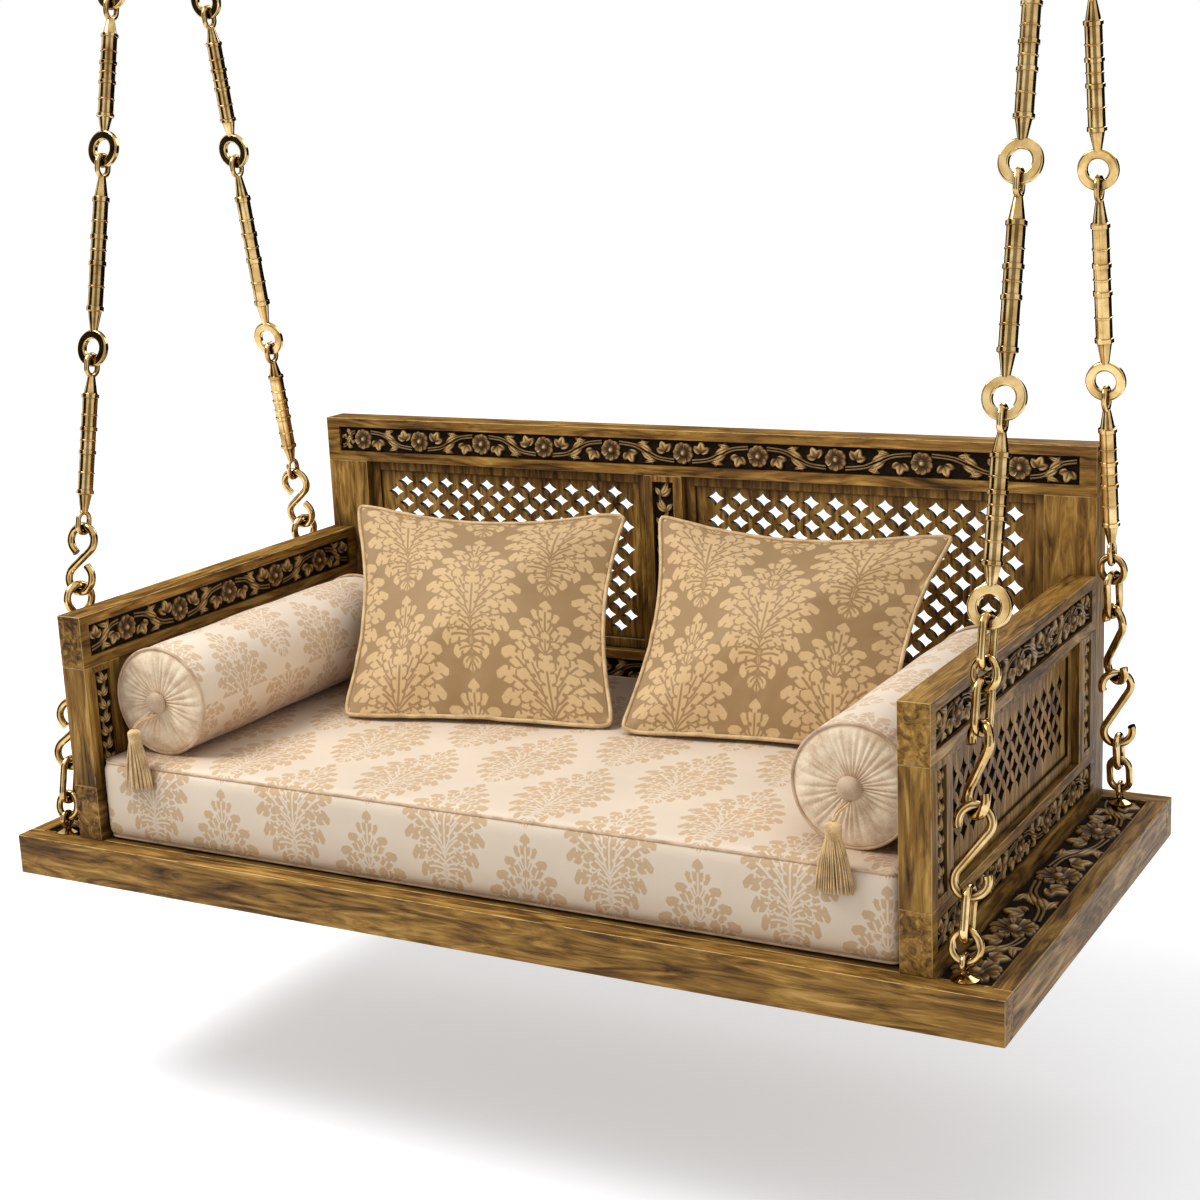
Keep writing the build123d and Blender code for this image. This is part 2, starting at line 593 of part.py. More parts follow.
def bar_along(points_and_arcs, wire):
    """Round wire swept along a flat run of lines and arcs in the XZ plane."""
    path = Wire(points_and_arcs)
    start = path @ 0
    section = Plane(origin=start, z_dir=path % 0) * Circle(wire / 2)
    return sweep(section, path=path)


def arc(centre, radius, start_angle, end_angle):
    """Arc in the XZ plane between two angles, in degrees from +X towards +Z."""
    def point(angle):
        return (centre[0] + radius * cos(radians(angle)), 0, centre[1] + radius * sin(radians(angle)))
    return ThreePointArc(point(start_angle), point((start_angle + end_angle) / 2), point(end_angle))


def oval_link(low, high, inner_width, wire):
    """Closed link whose inside runs between two heights, flat in the XZ plane."""
    bend = (inner_width + wire) / 2
    bottom = low - wire / 2 + bend
    top = high + wire / 2 - bend
    upper_bend = bar_along([arc((0, top), bend, 0, 180)], wire)
    parts = [bar_along([arc((0, bottom), bend, 180, 360)], wire)]
    if top - bottom > 0.01:
        parts += [rod_along_z(wire / 2, bottom, top, x) for x in (-bend, bend)]
    return upper_bend.fuse(*parts)


def s_hook(low, high, loop_radius, wire, closed):
    """S-shaped hook whose loops' insides end at two heights; closed loops make a figure of eight."""
    bend = loop_radius + wire / 2
    middle = (low + high) / 2
    rise = (high - low) / 2 - loop_radius
    slope = degrees(asin(bend / rise))
    tip_angle = 180 + slope if closed else 200
    upper = (0, middle + rise)
    lower = (0, middle - rise)
    runs = [arc(upper, bend, tip_angle, -slope)]
    runs.append(Line(runs[0] @ 1, (-(runs[0] @ 1).X, 0, 2 * middle - (runs[0] @ 1).Z)))
    runs.append(arc(lower, bend, 180 - slope, tip_angle + 180))
    if closed:
        runs = closing_tips(runs, middle, wire)
    return bar_along(runs, wire)


def closing_tips(runs, middle, wire):
    """Straight tips that run in towards the crossing and stop beside the diagonal."""
    start = runs[0] @ 0
    end = runs[-1] @ 1
    reach = hypot(start.X, start.Z - middle)
    share = (wire * 1.15 / sin(2 * atan2(abs(start.X), abs(start.Z - middle)))) / reach
    first = (start.X * share, 0, middle + (start.Z - middle) * share)
    last = (end.X * share, 0, middle + (end.Z - middle) * share)
    return [Line(first, start)] + runs + [Line(end, last)]


def rod_profile(low, high):
    """Half outline of the turned barrel between two heights: cones, collars and beads."""
    length = high - low
    outline = [(0, low), (NECK_RADIUS, low), (CONE_RADIUS, low + length * CONE_SHARE)]
    places = [(share, COLLAR_SHARE, COLLAR_RADIUS) for share in COLLARS]
    places += [(share, BEAD_SHARE, BEAD_RADIUS) for share in BEADS]
    for share, width, radius in sorted(places):
        start = low + length * (share - width / 2)
        end = start + length * width
        outline += [(ROD_RADIUS, start), (radius, start + COLLAR_EASE)]
        outline += [(radius, end - COLLAR_EASE), (ROD_RADIUS, end)]
    outline += [(CONE_RADIUS, high - length * CONE_SHARE), (NECK_RADIUS, high), (0, high)]
    return [(radius, 0, height) for radius, height in outline]


def turned_rod(low, high, foot):
    """Turned rod: a loop at the top, edge on, and a flat ring or a second loop at the foot."""
    top_loop = Rot(0, 0, 90) * oval_link(high - LOOP_INNER_LENGTH, high, LOOP_INNER_WIDTH, LOOP_WIRE)
    barrel_top = high - LOOP_INNER_LENGTH - LOOP_WIRE / 2
    if foot == "ring":
        middle = low + ROD_RING_HOLE
        disc = Cylinder(ROD_RING_OUTER, ROD_RING_THICKNESS)
        disc -= Cylinder(ROD_RING_HOLE, 2 * ROD_RING_THICKNESS)
        disc = fillet(disc.edges().filter_by(GeomType.CIRCLE), ROD_RING_EASE)
        foot_piece = Pos(0, 0, middle) * Rot(90, 0, 0) * disc
        barrel_low = middle + ROD_RING_OUTER - 1.2 * ROD_RING_EASE
    else:
        foot_piece = Rot(0, 0, 90) * oval_link(low, low + LOOP_INNER_LENGTH, LOOP_INNER_WIDTH, LOOP_WIRE)
        barrel_low = low + LOOP_INNER_LENGTH + LOOP_WIRE / 2
    barrel = revolve(make_face(Polyline(*rod_profile(barrel_low, barrel_top), close=True)), Axis.Z)
    return top_loop.fuse(barrel, foot_piece)


def chain_contacts(lean, rod_heights, foot):
    """Distances along the chain from the eye's middle to each rod's foot, the last top and the ring."""
    scale = 1 / cos(lean)
    length = (MEETING_HEIGHT - EYE_HEIGHT) * scale
    top = length - HANGER_RING_RADIUS + HANGER_WIRE / 2
    seats = [(height - EYE_HEIGHT) * scale - ROD_RING_HOLE for height in rod_heights]
    if foot == "loop":
        seats[0] += ROD_RING_HOLE
    last_rod_top = top - TOP_LINK_INNER_LENGTH
    spare = ROD_COUNT - len(seats) + 1
    step = (last_rod_top - seats[-1]) / spare
    seats += [seats[-1] + step * number for number in range(1, spare + 1)]
    return seats, top


def lower_links(kind, foot, top):
    """Lengths, shapes and turns about the chain of the links between the eye bolt and the lowest rod."""
    ring = ("oval", RING_INNER_LENGTH)
    oval = ("oval", OVAL_INNER_LENGTH)
    short = ("oval", SHORT_OVAL_INNER_LENGTH)
    hook = ("hook", None)
    if kind == "open" and foot == "ring":
        links = [ring, oval, hook, hook, oval, ring, oval]
        turns = [0, 90, 20, -40, -110, -20, 80]
    elif kind == "open":
        links = [short, short, hook, hook, oval, ring]
        turns = [0, 90, 20, -40, -110, -10]
    else:
        links = [ring, oval, hook, hook, hook, hook]
        turns = [0, 90, 20, -40, -105, 5]
    fixed = sum(length for shape, length in links if length)
    hook_length = (top - EYE_HOLE_RADIUS - fixed) / sum(1 for shape, length in links if not length)
    return [(shape, length or hook_length, turn) for (shape, length), turn in zip(links, turns)]


def make_chain(name, values):
    """One chain from its eye bolt to the hanger ring: rods, links and hooks, saved as three nodes."""
    side = 1 if name.endswith("right") else -1
    eye_y = values["eye_y"]
    lean = atan2(HOOK_Y - eye_y, MEETING_HEIGHT - EYE_HEIGHT)
    place = Pos(side * chain_x, eye_y, EYE_HEIGHT) * Rot(-degrees(lean), 0, 0)
    seats, top = chain_contacts(lean, values["rods"], values["foot"])
    gap = CHAIN_GAP / 2
    rods = []
    for number in range(ROD_COUNT):
        foot = values["foot"] if number == 0 else "ring"
        rods.append(place * turned_rod(seats[number] - gap, seats[number + 1] + gap, foot))
    links = [place * oval_link(seats[-1] - gap, top + gap, OVAL_INNER_WIDTH, LINK_WIRE)]
    hooks = []
    height = EYE_HOLE_RADIUS
    for shape, length, turn in lower_links(values["hooks"], values["foot"], seats[0]):
        low, high = height - gap, height + length + gap
        height += length
        if shape == "oval":
            width = length - 2 if length <= RING_INNER_LENGTH else OVAL_INNER_WIDTH
            links.append(place * Rot(0, 0, turn) * oval_link(low, high, width, LINK_WIRE))
        else:
            closed = values["hooks"] == "eight"
            radius = EIGHT_LOOP_RADIUS if closed else S_LOOP_RADIUS
            hooks.append(place * Rot(0, 0, turn) * s_hook(low, high, radius, S_WIRE, closed))
    save("chain_rods_" + name, *rods)
    save("chain_links_" + name, *links)
    return hooks


def make_chains():
    hooks = {"left": [], "right": []}
    for name, values in CHAINS.items():
        hooks[name.split("_")[1]] += make_chain(name, values)
    save("s_hooks_right", *hooks["right"])
    save("figure_eight_hooks_left", *hooks["left"])


def make_eye_bolts():
    """Eye bolts through the deck, with a domed flange above and a washer and nut below."""
    eyes = []
    flanges = []
    nuts = []
    bend = EYE_HOLE_RADIUS + EYE_WIRE / 2
    shank_low = batten_bottom - WASHER_THICKNESS - NUT_HEIGHT - THREAD_PAST_NUT
    for side in SIDES.values():
        for y in (FRONT_EYE_Y, REAR_EYE_Y):
            place = Pos(side * chain_x, y, 0)
            eye = Pos(0, 0, EYE_HEIGHT) * Rot(0, 90, 0) * Torus(bend, EYE_WIRE / 2)
            shank = rod_along_z(EYE_SHANK_DIAMETER / 2, shank_low, EYE_HEIGHT - bend)
            eyes.append(place * (eye + shank))
            hole = rod_along_z(EYE_SHANK_DIAMETER / 2 + HOLE_CLEARANCE, shank_low, EYE_HEIGHT)
            flanges.append(place * (flange() - hole))
            washer = rod_along_z(WASHER_RADIUS, batten_bottom - WASHER_THICKNESS, batten_bottom)
            nut_top = batten_bottom - WASHER_THICKNESS
            hexagon = RegularPolygon(NUT_WIDTH / 2, 6, major_radius=False)
            nut = Pos(0, 0, nut_top - NUT_HEIGHT) * extrude(hexagon, NUT_HEIGHT)
            nuts.append(place * (washer + nut - hole))
    save("eye_bolts", *eyes)
    save("eye_flanges", *flanges)
    save("eye_nuts", *nuts)


def flange():
    """Domed round flange that stands on the deck."""
    outer = (FLANGE_RADIUS, 0, FLANGE_RIM)
    inner = (FLANGE_FLAT_RADIUS, 0, FLANGE_HEIGHT)
    crown = (FLANGE_CROWN[0], 0, FLANGE_CROWN[1])
    profile = make_face([
        Line((0, 0, 0), (FLANGE_RADIUS, 0, 0)),
        Line((FLANGE_RADIUS, 0, 0), outer),
        ThreePointArc(outer, crown, inner),
        Line(inner, (0, 0, FLANGE_HEIGHT)),
        Line((0, 0, FLANGE_HEIGHT), (0, 0, 0)),
    ])
    return revolve(profile, Axis.Z)


# ---------------------------------------------------------------- ceiling fittings


def make_ceiling():
    """Screw plates with forged hooks, and the hanger rings that ride in them."""
    plates = []
    hooks = []
    rings = []
    plate_low = ceiling_height - PLATE_THICKNESS
    spacing = PLATE_HOLE_SPACING / 2
    for side in SIDES.values():
        plate = Pos(0, 0, plate_low + PLATE_THICKNESS / 2) * Box(PLATE_SIZE, PLATE_SIZE, PLATE_THICKNESS)
        plate = fillet(plate.edges().filter_by(Axis.Z), PLATE_SIZE / 8)
        holes = [rod_along_z(PLATE_HOLE_RADIUS, plate_low - 1, ceiling_height + 1, x, y)
                 for x in (-spacing, spacing) for y in (-spacing, spacing)]
        place = Pos(side * chain_x, HOOK_Y, 0)
        plates.append(place * (plate - holes))
        hooks.append(place * ceiling_hook(plate_low))
        ring = Pos(0, 0, MEETING_HEIGHT) * Rot(0, 90, 0) * Torus(HANGER_RING_RADIUS, HANGER_WIRE / 2)
        rings.append(place * ring)
    save("ceiling_plates", *plates)
    save("ceiling_hooks", *hooks)
    save("hanger_rings", *rings)


def ceiling_hook(plate_low):
    """Open hook in the XZ plane whose bowl carries the hanger ring."""
    bowl = HOOK_BOWL_RADIUS
    bowl_z = hook_axis_height + bowl
    swan = bowl / 2
    runs = [
        Line((0, 0, plate_low), (0, 0, bowl_z + bowl)),
        arc((swan, bowl_z + bowl), swan, 180, 270),
        arc((swan, bowl_z), swan, 90, 0),
        arc((0, bowl_z), bowl, 0, -180),
        Line((-bowl, 0, bowl_z), (-bowl, 0, bowl_z + bowl / 3)),
    ]
    boss = rod_along_z(BOSS_RADIUS, plate_low - BOSS_HEIGHT, plate_low)
    return bar_along(runs, HOOK_BAR) + boss


make_deck()
make_back()
for side_name, side_sign in SIDES.items():
    make_arm(side_name, side_sign)
make_frame_bolts()
make_upholstery()
make_eye_bolts()
make_chains()
make_ceiling()

os.makedirs("parts", exist_ok=True)
for node_name, solids in nodes.items():
    export_step(solids, "parts/%s.step" % node_name)
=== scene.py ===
"""Looks of the jhoola swing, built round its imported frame. Lengths are metres.

The seat is drawn from the middle of the deck top: X along the seat, Y to the back, Z up.
"""

import math
import random

import bmesh
import bpy
import numpy as np
from mathutils import Matrix, Vector


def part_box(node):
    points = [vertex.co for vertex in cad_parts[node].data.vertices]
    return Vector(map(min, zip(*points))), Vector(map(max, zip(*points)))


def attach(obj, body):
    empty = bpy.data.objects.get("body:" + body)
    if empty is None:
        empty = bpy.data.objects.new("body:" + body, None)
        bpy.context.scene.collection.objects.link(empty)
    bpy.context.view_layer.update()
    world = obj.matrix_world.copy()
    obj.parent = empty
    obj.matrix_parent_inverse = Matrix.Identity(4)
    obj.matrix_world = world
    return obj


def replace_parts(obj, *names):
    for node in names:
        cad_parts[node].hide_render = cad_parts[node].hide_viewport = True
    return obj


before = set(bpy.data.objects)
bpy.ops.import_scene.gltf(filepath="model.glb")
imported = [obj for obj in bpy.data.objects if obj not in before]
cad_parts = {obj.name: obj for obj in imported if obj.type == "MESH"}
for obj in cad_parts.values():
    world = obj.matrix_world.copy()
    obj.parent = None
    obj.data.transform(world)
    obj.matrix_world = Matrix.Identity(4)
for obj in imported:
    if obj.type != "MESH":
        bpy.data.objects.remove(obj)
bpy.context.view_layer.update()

SIDES = ("left", "right")
# Seeds of the random draws
SEEDS = {"back": 11, "arm_left": 23, "arm_right": 29, "deck_left": 37, "deck_right": 41, "threads": 3,
         "bolster_left": 5, "bolster_right": 7, "cushion_left": 17, "cushion_right": 19}

# The deck's front edge, and the middle of the deck top in the row frame
DECK_FRONT = -0.475
rail_low, rail_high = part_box("deck_front_rail")
deck_middle = Vector((0, rail_low.y - DECK_FRONT, rail_high.z))

# Camera, from the middle of the deck top; angles in degrees
CAMERA_PLACE = (1.7528, -3.0699, 1.2263)
CAMERA_AZIMUTH = 29.20
CAMERA_ELEVATION = 13.30
CAMERA_ROLL = -2.60
CAMERA_LENS = 62.8
FLOOR_DROP = 0.40
FLOOR_MIDDLE = (0.0, 0.0, rail_low.z - FLOOR_DROP)
FLOOR_HALF_WIDTH = 60.0
# How brightly the floor shows near the object and far from it, and where near ends and far begins
FLOOR_GLOW = (0.41, 0.75)
FLOOR_GLOW_REACH = (1.2, 4.5)

WORLD_LIGHT = 0.48
LAMP_TARGET = (0.0, 0.0, 0.2)
# Place from the middle of the deck top, width and power of each lamp
LAMPS = (("key", (-2.2, -1.3, 3.8), 2.0, 165.0), ("fill", (3.0, -3.2, 1.6), 2.5, 22.0),
         ("rim", (0.8, 3.2, 2.8), 2.0, 40.0))
CARD_DISTANCE = 4.6
CARD_HEIGHTS = (-1.0, 3.4)
# Directions and widths of the cards, in degrees, and how bright they look
CARDS = ((209.0, 84.0, 0.0), (-46.0, 46.0, 0.02), (134.0, 68.0, 0.01), (34.0, 44.0, 0.30))

# Carving
CARVING_SINK = 0.0015
GROUND_DEPTH = 0.0062
RELIEF_HEIGHT = 0.0060
ARM_BAND_HEIGHT = 0.056
ARM_LOW_BAND_HEIGHT = 0.052
STRIP_WIDTH = 0.038
FLOWER_PETALS = 5
BACK_FLOWER_RADIUS = 0.0220
BACK_LOW_FLOWERS = 10
BACK_LOW_MARGIN = 0.07
ARM_FLOWER_RADIUS = 0.0240
ARM_FLOWERS = 5
ARM_MARGIN = 0.10
DECK_FLOWER_RADIUS = 0.0400
DECK_FLOWER_PETALS = 9
# Middles of the flowers along the deck's strips and the back's top rail
DECK_FLOWERS = (-0.372, -0.200, 0.033, 0.258)
TOP_FLOWERS = (-0.710, -0.574, -0.429, -0.286, -0.139, 0.014, 0.167, 0.320, 0.483, 0.660)

# Upholstery
SOFT_GAP = 0.0003
PIPING_RADIUS = 0.0026
MATTRESS_EDGE = 0.022
MATTRESS_STEPS = (150, 86, 18)
MATTRESS_TOP_CROWN = 0.0022
MATTRESS_SIDE_CROWN = 0.0040
MATTRESS_WAVE = 0.0010
BOLSTER_PIPING_RADIUS = 0.0028
BOLSTER_FOLDS = 34
BOLSTER_TURNS = 240
# How far the cover and the piping start from the bolster's ends
BOLSTER_COVER_END = 0.0105
BOLSTER_PIPING_END = 0.0100
BOLSTER_PIPING_INSET = 0.0030
BOLSTER_RIM_INSET = 0.004
BOLSTER_GATHER = 0.0034
# Radius and height of the button's rows, from its top round the rim
BUTTON_PROFILE = ((0.0, 0.0132), (0.005, 0.0129), (0.010, 0.0118), (0.0145, 0.0097), (0.0178, 0.0068),
                  (0.0192, 0.0042), (0.0193, 0.0020), (0.0180, 0.0002), (0.0150, -0.0040))
# How far the tassel's cord, head and neck hang under the bolster's axis
TASSEL_CORD_DROPS = (0.019, 0.020, 0.021)
TASSEL_HEAD_DROP = 0.029
TASSEL_NECK_DROP = 0.056
TASSEL_MIDDLE_DEPTH = 0.0095
TASSEL_CORD_RADIUS = 0.0015
TASSEL_CORD_SPREAD = 0.0022
TASSEL_HEAD_RADIUS = 0.0135
TASSEL_HEAD_STEPS = 24
# Half widths and half depths where the threads leave the neck and where they end
TASSEL_NECK = (0.0112, 0.0090)
TASSEL_HEM = (0.0300, 0.0085)
THREAD_COUNT = 120
THREAD_RINGS = (0.45, 0.72, 1.0)
THREAD_RADIUS = 0.00115
CUSHION_PIPING_RADIUS = 0.0038
CUSHION_HALF_THICKNESS = 0.072
CUSHION_LIFT = 0.006
CUSHION_FLAT = 0.52
CUSHION_CLEARANCE = 0.0035
PILLOW_POINTS = 56
# How far the middles of a cushion's edges draw in, as shares of its half size, and how far its corners do
PULL_TOP = 0.19
PULL_BOTTOM = 0.05
PULL_SIDES = 0.13
PULL_CORNERS = 0.045
PUCKER = 0.0042
PUCKERS_PER_EDGE_PAIR = 7
INFLATING_FRAMES = 26
INFLATING_SETTINGS = {
    "quality": 6, "mass": 0.25, "tension_stiffness": 18.0, "compression_stiffness": 18.0,
    "shear_stiffness": 6.0, "bending_stiffness": 0.6, "use_pressure": True, "uniform_pressure_force": 5.0,
}

# Corners of the cushions, from the lower left round: X, Y and height above the foot
CUSHION_CORNERS = {
    "left": ((-0.475, -0.079, 0.0), (0.040, 0.030, 0.0), (-0.089, 0.352, 0.329), (-0.648, 0.250, 0.336)),
    "right": ((0.053, 0.012, 0.0), (0.548, 0.062, 0.0), (0.561, 0.352, 0.326), (-0.029, 0.352, 0.325)),
}

ALONG, BACKWARD, UP = (1, 0, 0), (0, 1, 0), (0, 0, 1)


# ---------------------------------------------------------------- meshes


def seat_box(node):
    """Corners of a CAD node's box, from the middle of the deck top."""
    return [corner - deck_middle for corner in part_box(node)]


def smooth_path(points, per_span=8, closed=False):
    """Points along a smooth curve through the given ones."""
    points = np.asarray(points, float)
    count = len(points)
    spans = count if closed else count - 1
    path = []
    for span in range(spans):
        picks = [span - 1, span, span + 1, span + 2]
        picks = [p % count if closed else min(max(p, 0), count - 1) for p in picks]
        before, start, end, after = points[picks]
        for step in range(per_span):
            t = step / per_span
            path.append(0.5 * (2 * start + (end - before) * t
                               + (2 * before - 5 * start + 4 * end - after) * t ** 2
                               + (3 * start - before - 3 * end + after) * t ** 3))
    if not closed:
        path.append(points[-1])
    return np.array(path)


def tube_rows(path, radius, sides=8, closed=False):
    """Rings of points round a path; the radius may differ from point to point."""
    path = np.asarray(path, float)
    if closed:
        tangents = np.roll(path, -1, 0) - np.roll(path, 1, 0)
    else:
        tangents = np.gradient(path, axis=0)
    tangents /= np.linalg.norm(tangents, axis=1)[:, None]
    side = np.cross(tangents[0], (0.31, 0.17, 0.94))
    rings = []
    angles = np.linspace(0, 2 * math.pi, sides, endpoint=False)
    radii = np.broadcast_to(radius, len(path))
    for point, tangent, ring_radius in zip(path, tangents, radii):
        side = side - tangent * np.dot(side, tangent)
        side /= np.linalg.norm(side)
        up = np.cross(tangent, side)
        rings.append(point + ring_radius * (np.cos(angles)[:, None] * side + np.sin(angles)[:, None] * up))
    if closed:
        rings.append(rings[0])
    return np.array(rings)


class Shape:
    """One mesh as it grows from grids of points, each given in the frame that onto() sets."""

    def __init__(self):
        self.points = []
        self.faces = []
        self.rise = []
        self.uv = []
        self.paint = []
        self.count = 0
        self.onto((0, 0, 0), ALONG, BACKWARD, UP)

    def onto(self, origin, along, across, outward):
        """Sets the frame of the grids that follow."""
        self.origin = np.array(origin, float)
        self.axes = np.array([along, across, outward], float)
        self.flip = np.linalg.det(self.axes) < 0

    def grid(self, rows, wrap=False, uv=None, rise=0.5, paint=0):
        """Joins rows of points with quads; wrap closes each row into a ring. Paint picks the material."""
        rows = np.asarray(rows, float)
        down, across = rows.shape[:2]
        self.points.append(rows.reshape(-1, 3) @ self.axes + self.origin)
        self.rise.append(np.broadcast_to(rise, (down, across)).reshape(-1))
        if uv is None:
            uv = np.zeros((down, across, 2))
        uv = np.asarray(uv, float)
        for i in range(down - 1):
            for j in range(across if wrap else across - 1):
                nearby = [(i, j), (i, j + 1), (i + 1, j + 1), (i + 1, j)]
                if self.flip:
                    nearby.reverse()
                self.faces.append([self.count + a * across + b % across for a, b in nearby])
                self.uv += [uv[a, b % across] for a, b in nearby]
                self.paint.append(paint)
        self.count += down * across

    def whole(self, points, faces, uv):
        """Takes a ready mesh, with cloth coordinates for each corner of each face."""
        self.points, self.faces, self.uv = [points], faces, uv
        self.rise, self.paint = [np.zeros(len(points))], [0] * len(faces)

    def build(self, name, materials, slot, merge=0.0):
        """Makes the object, in the row frame, riding on the seat."""
        mesh = bpy.data.meshes.new(name)
        mesh.from_pydata(np.concatenate(self.points).tolist(), [], self.faces)
        mesh.uv_layers.new(name="cloth")
        mesh.uv_layers["cloth"].data.foreach_set("uv", np.array(self.uv).reshape(-1))
        mesh.attributes.new("rise", "FLOAT", "POINT")
        mesh.attributes["rise"].data.foreach_set("value", np.concatenate(self.rise))
        mesh.polygons.foreach_set("material_index", self.paint)
        if merge:
            work = bmesh.new()
            work.from_mesh(mesh)
            bmesh.ops.remove_doubles(work, verts=work.verts, dist=merge)
            bmesh.ops.recalc_face_normals(work, faces=work.faces)
            work.to_mesh(mesh)
            work.free()
        mesh.polygons.foreach_set("use_smooth", [True] * len(mesh.polygons))
        mesh.transform(Matrix.Translation(deck_middle))
        for material in materials:
            mesh.materials.append(material)
        piece = bpy.data.objects.new(name, mesh)
        bpy.context.scene.collection.objects.link(piece)
        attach(piece, "seat")
        return piece


# ---------------------------------------------------------------- materials


class Graph:
    """Short way to add nodes to one node tree and to join them."""

    def __init__(self, tree):
        self.tree = tree

    def add(self, kind, inputs=None, **settings):
        node = self.tree.nodes.new(kind)
        for name, value in settings.items():
            setattr(node, name, value)
        self.feed(node, inputs or {})
        return node

    def feed(self, node, inputs):
        """Links sockets to a node's inputs and sets constants on them."""
        for key, value in inputs.items():
            if isinstance(value, bpy.types.NodeSocket):
                self.tree.links.new(value, node.inputs[key])
            else:
                node.inputs[key].default_value = value

    def shade(self, inputs):
        """Feeds the material's own shader."""
        self.feed(self.tree.nodes["Principled BSDF"], inputs)

    def seen(self):
        """One on the rays that see a background: straight, in gloss or through glass."""
        rays = self.add("ShaderNodeLightPath").outputs
        seen = self.math("MAXIMUM", rays["Is Camera Ray"], rays["Is Glossy Ray"])
        return self.math("MAXIMUM", seen, rays["Is Transmission Ray"])

    def place(self):
        """Where the point lies on its object."""
        return self.add("ShaderNodeTexCoord").outputs["Object"]

    def normal_sizes(self):
        """Sizes of the three parts of the surface's normal."""
        normal = self.vector("ABSOLUTE", self.add("ShaderNodeTexCoord").outputs["Normal"])
        return self.add("ShaderNodeSeparateXYZ", {0: normal}).outputs

    def math(self, operation, *values, clamp=False):
        node = self.add("ShaderNodeMath", dict(enumerate(values)), operation=operation, use_clamp=clamp)
        return node.outputs[0]

    def vary(self, noise, amount, base):
        """The base, moved up and down by a noise that is a half on average."""
        return self.math("MULTIPLY_ADD", self.math("SUBTRACT", noise, 0.5), amount, base)

    def vector(self, operation, *values):
        return self.add("ShaderNodeVectorMath", dict(enumerate(values)), operation=operation).outputs[0]

    def noise(self, vector, scale, detail=3.0, roughness=0.5, distortion=0.0):
        inputs = {"Vector": vector, "Scale": scale, "Detail": detail,
                  "Roughness": roughness, "Distortion": distortion}
        return self.add("ShaderNodeTexNoise", inputs).outputs[0]

    def stretch(self, vector, scale):
        return self.add("ShaderNodeMapping", {"Vector": vector, "Scale": scale}).outputs[0]

    def ramp(self, value, stops):
        node = self.add("ShaderNodeValToRGB", {0: value})
        elements = node.color_ramp.elements
        while len(elements) < len(stops):
            elements.new(0.5)
        for element, (place, colour) in zip(elements, stops):
            element.position = place
            element.color = (*colour, 1.0)
        return node.outputs[0]

    def smooth(self, value, low, high):
        inputs = {"Value": value, "From Min": low, "From Max": high}
        return self.add("ShaderNodeMapRange", inputs, interpolation_type="SMOOTHSTEP").outputs[0]

    def mix(self, factor, first, second, blend="MIX"):
        node = self.add("ShaderNodeMix", data_type="RGBA", blend_type=blend)
        for key, value in ((0, factor), (6, first), (7, second)):
            self.feed(node, {key: (*value, 1.0) if isinstance(value, tuple) else value})
        return node.outputs[2]

    def crevice(self, distance, power=1.0):
        """One in the open, falling to nothing in narrow gaps."""
        node = self.add("ShaderNodeAmbientOcclusion", {"Distance": distance}, samples=6)
        return self.math("POWER", node.outputs["AO"], power)

    def bump(self, height, distance, strength=1.0):
        inputs = {"Height": height, "Distance": distance, "Strength": strength}
        return self.add("ShaderNodeBump", inputs).outputs[0]


def new_material(name):
    material = bpy.data.materials.new(name)
    material.use_nodes = True
    return material, Graph(material.node_tree)


WOOD_SPECULAR = 0.18
# Scales of the wood's noises, across its grain and along it
STREAK_SCALES = (46.0, 6.0)
GRAIN_SCALES = (300.0, 11.0)
# Colour of the boards' brighter edges: part rubbed wear, part painted highlight
GOLD_EDGE = (0.70, 0.46, 0.17)
WOOD_STOPS = ((0.30, (0.034, 0.015, 0.003)), (0.43, (0.150, 0.070, 0.014)),
              (0.56, (0.310, 0.160, 0.030)), (0.72, (0.560, 0.330, 0.090)))


def wood_colour(graph, along):
    """Streaky antiqued golden brown, with its grain along one axis of the row frame."""
    place = graph.place()
    streak_scale, grain_scale = [[lengthwise if axis == along else across for axis in range(3)]
                                 for across, lengthwise in (STREAK_SCALES, GRAIN_SCALES)]
    streaks = graph.noise(graph.stretch(place, streak_scale), 1.0, 5.0, 0.60, 1.6)
    grain = graph.noise(graph.stretch(place, grain_scale), 1.0, 2.0, 0.6)
    cloud = graph.noise(place, 5.5, 3.0, 0.55)
    tone = graph.vary(cloud, 0.34, graph.vary(grain, 0.22, streaks))
    return graph.ramp(tone, WOOD_STOPS), tone, grain


def wood(name, along):
    """Board: grain along one axis, brighter edges that are part rubbed wear and part painted highlight, and
    painted shade in the corners.
    """
    material, graph = new_material(name)
    colour, tone, grain = wood_colour(graph, along)
    parts = graph.normal_sizes()
    widest = graph.math("MAXIMUM", graph.math("MAXIMUM", parts[0], parts[1]), parts[2])
    # Brighter rounded edges in patches: part rubbed wear, part painted highlight
    edge = graph.smooth(widest, 0.97, 0.80)
    patchy = graph.smooth(graph.noise(graph.place(), 30.0, 3.0, 0.6), 0.30, 0.55)
    colour = graph.mix(graph.math("MULTIPLY", edge, patchy), colour, GOLD_EDGE)
    # Painted shade: the colour turns near-black in corners and in gaps between parts
    dark = graph.mix(0.75, colour, (0.012, 0.006, 0.002))
    graph.shade({
        "Base Color": graph.mix(graph.crevice(0.035, 1.3), dark, colour),
        "Roughness": graph.math("MULTIPLY_ADD", tone, -0.25, 0.56),
        "Normal": graph.bump(graph.math("ADD", grain, tone), 0.0006, 0.55),
        "Specular IOR Level": WOOD_SPECULAR,
    })
    return material


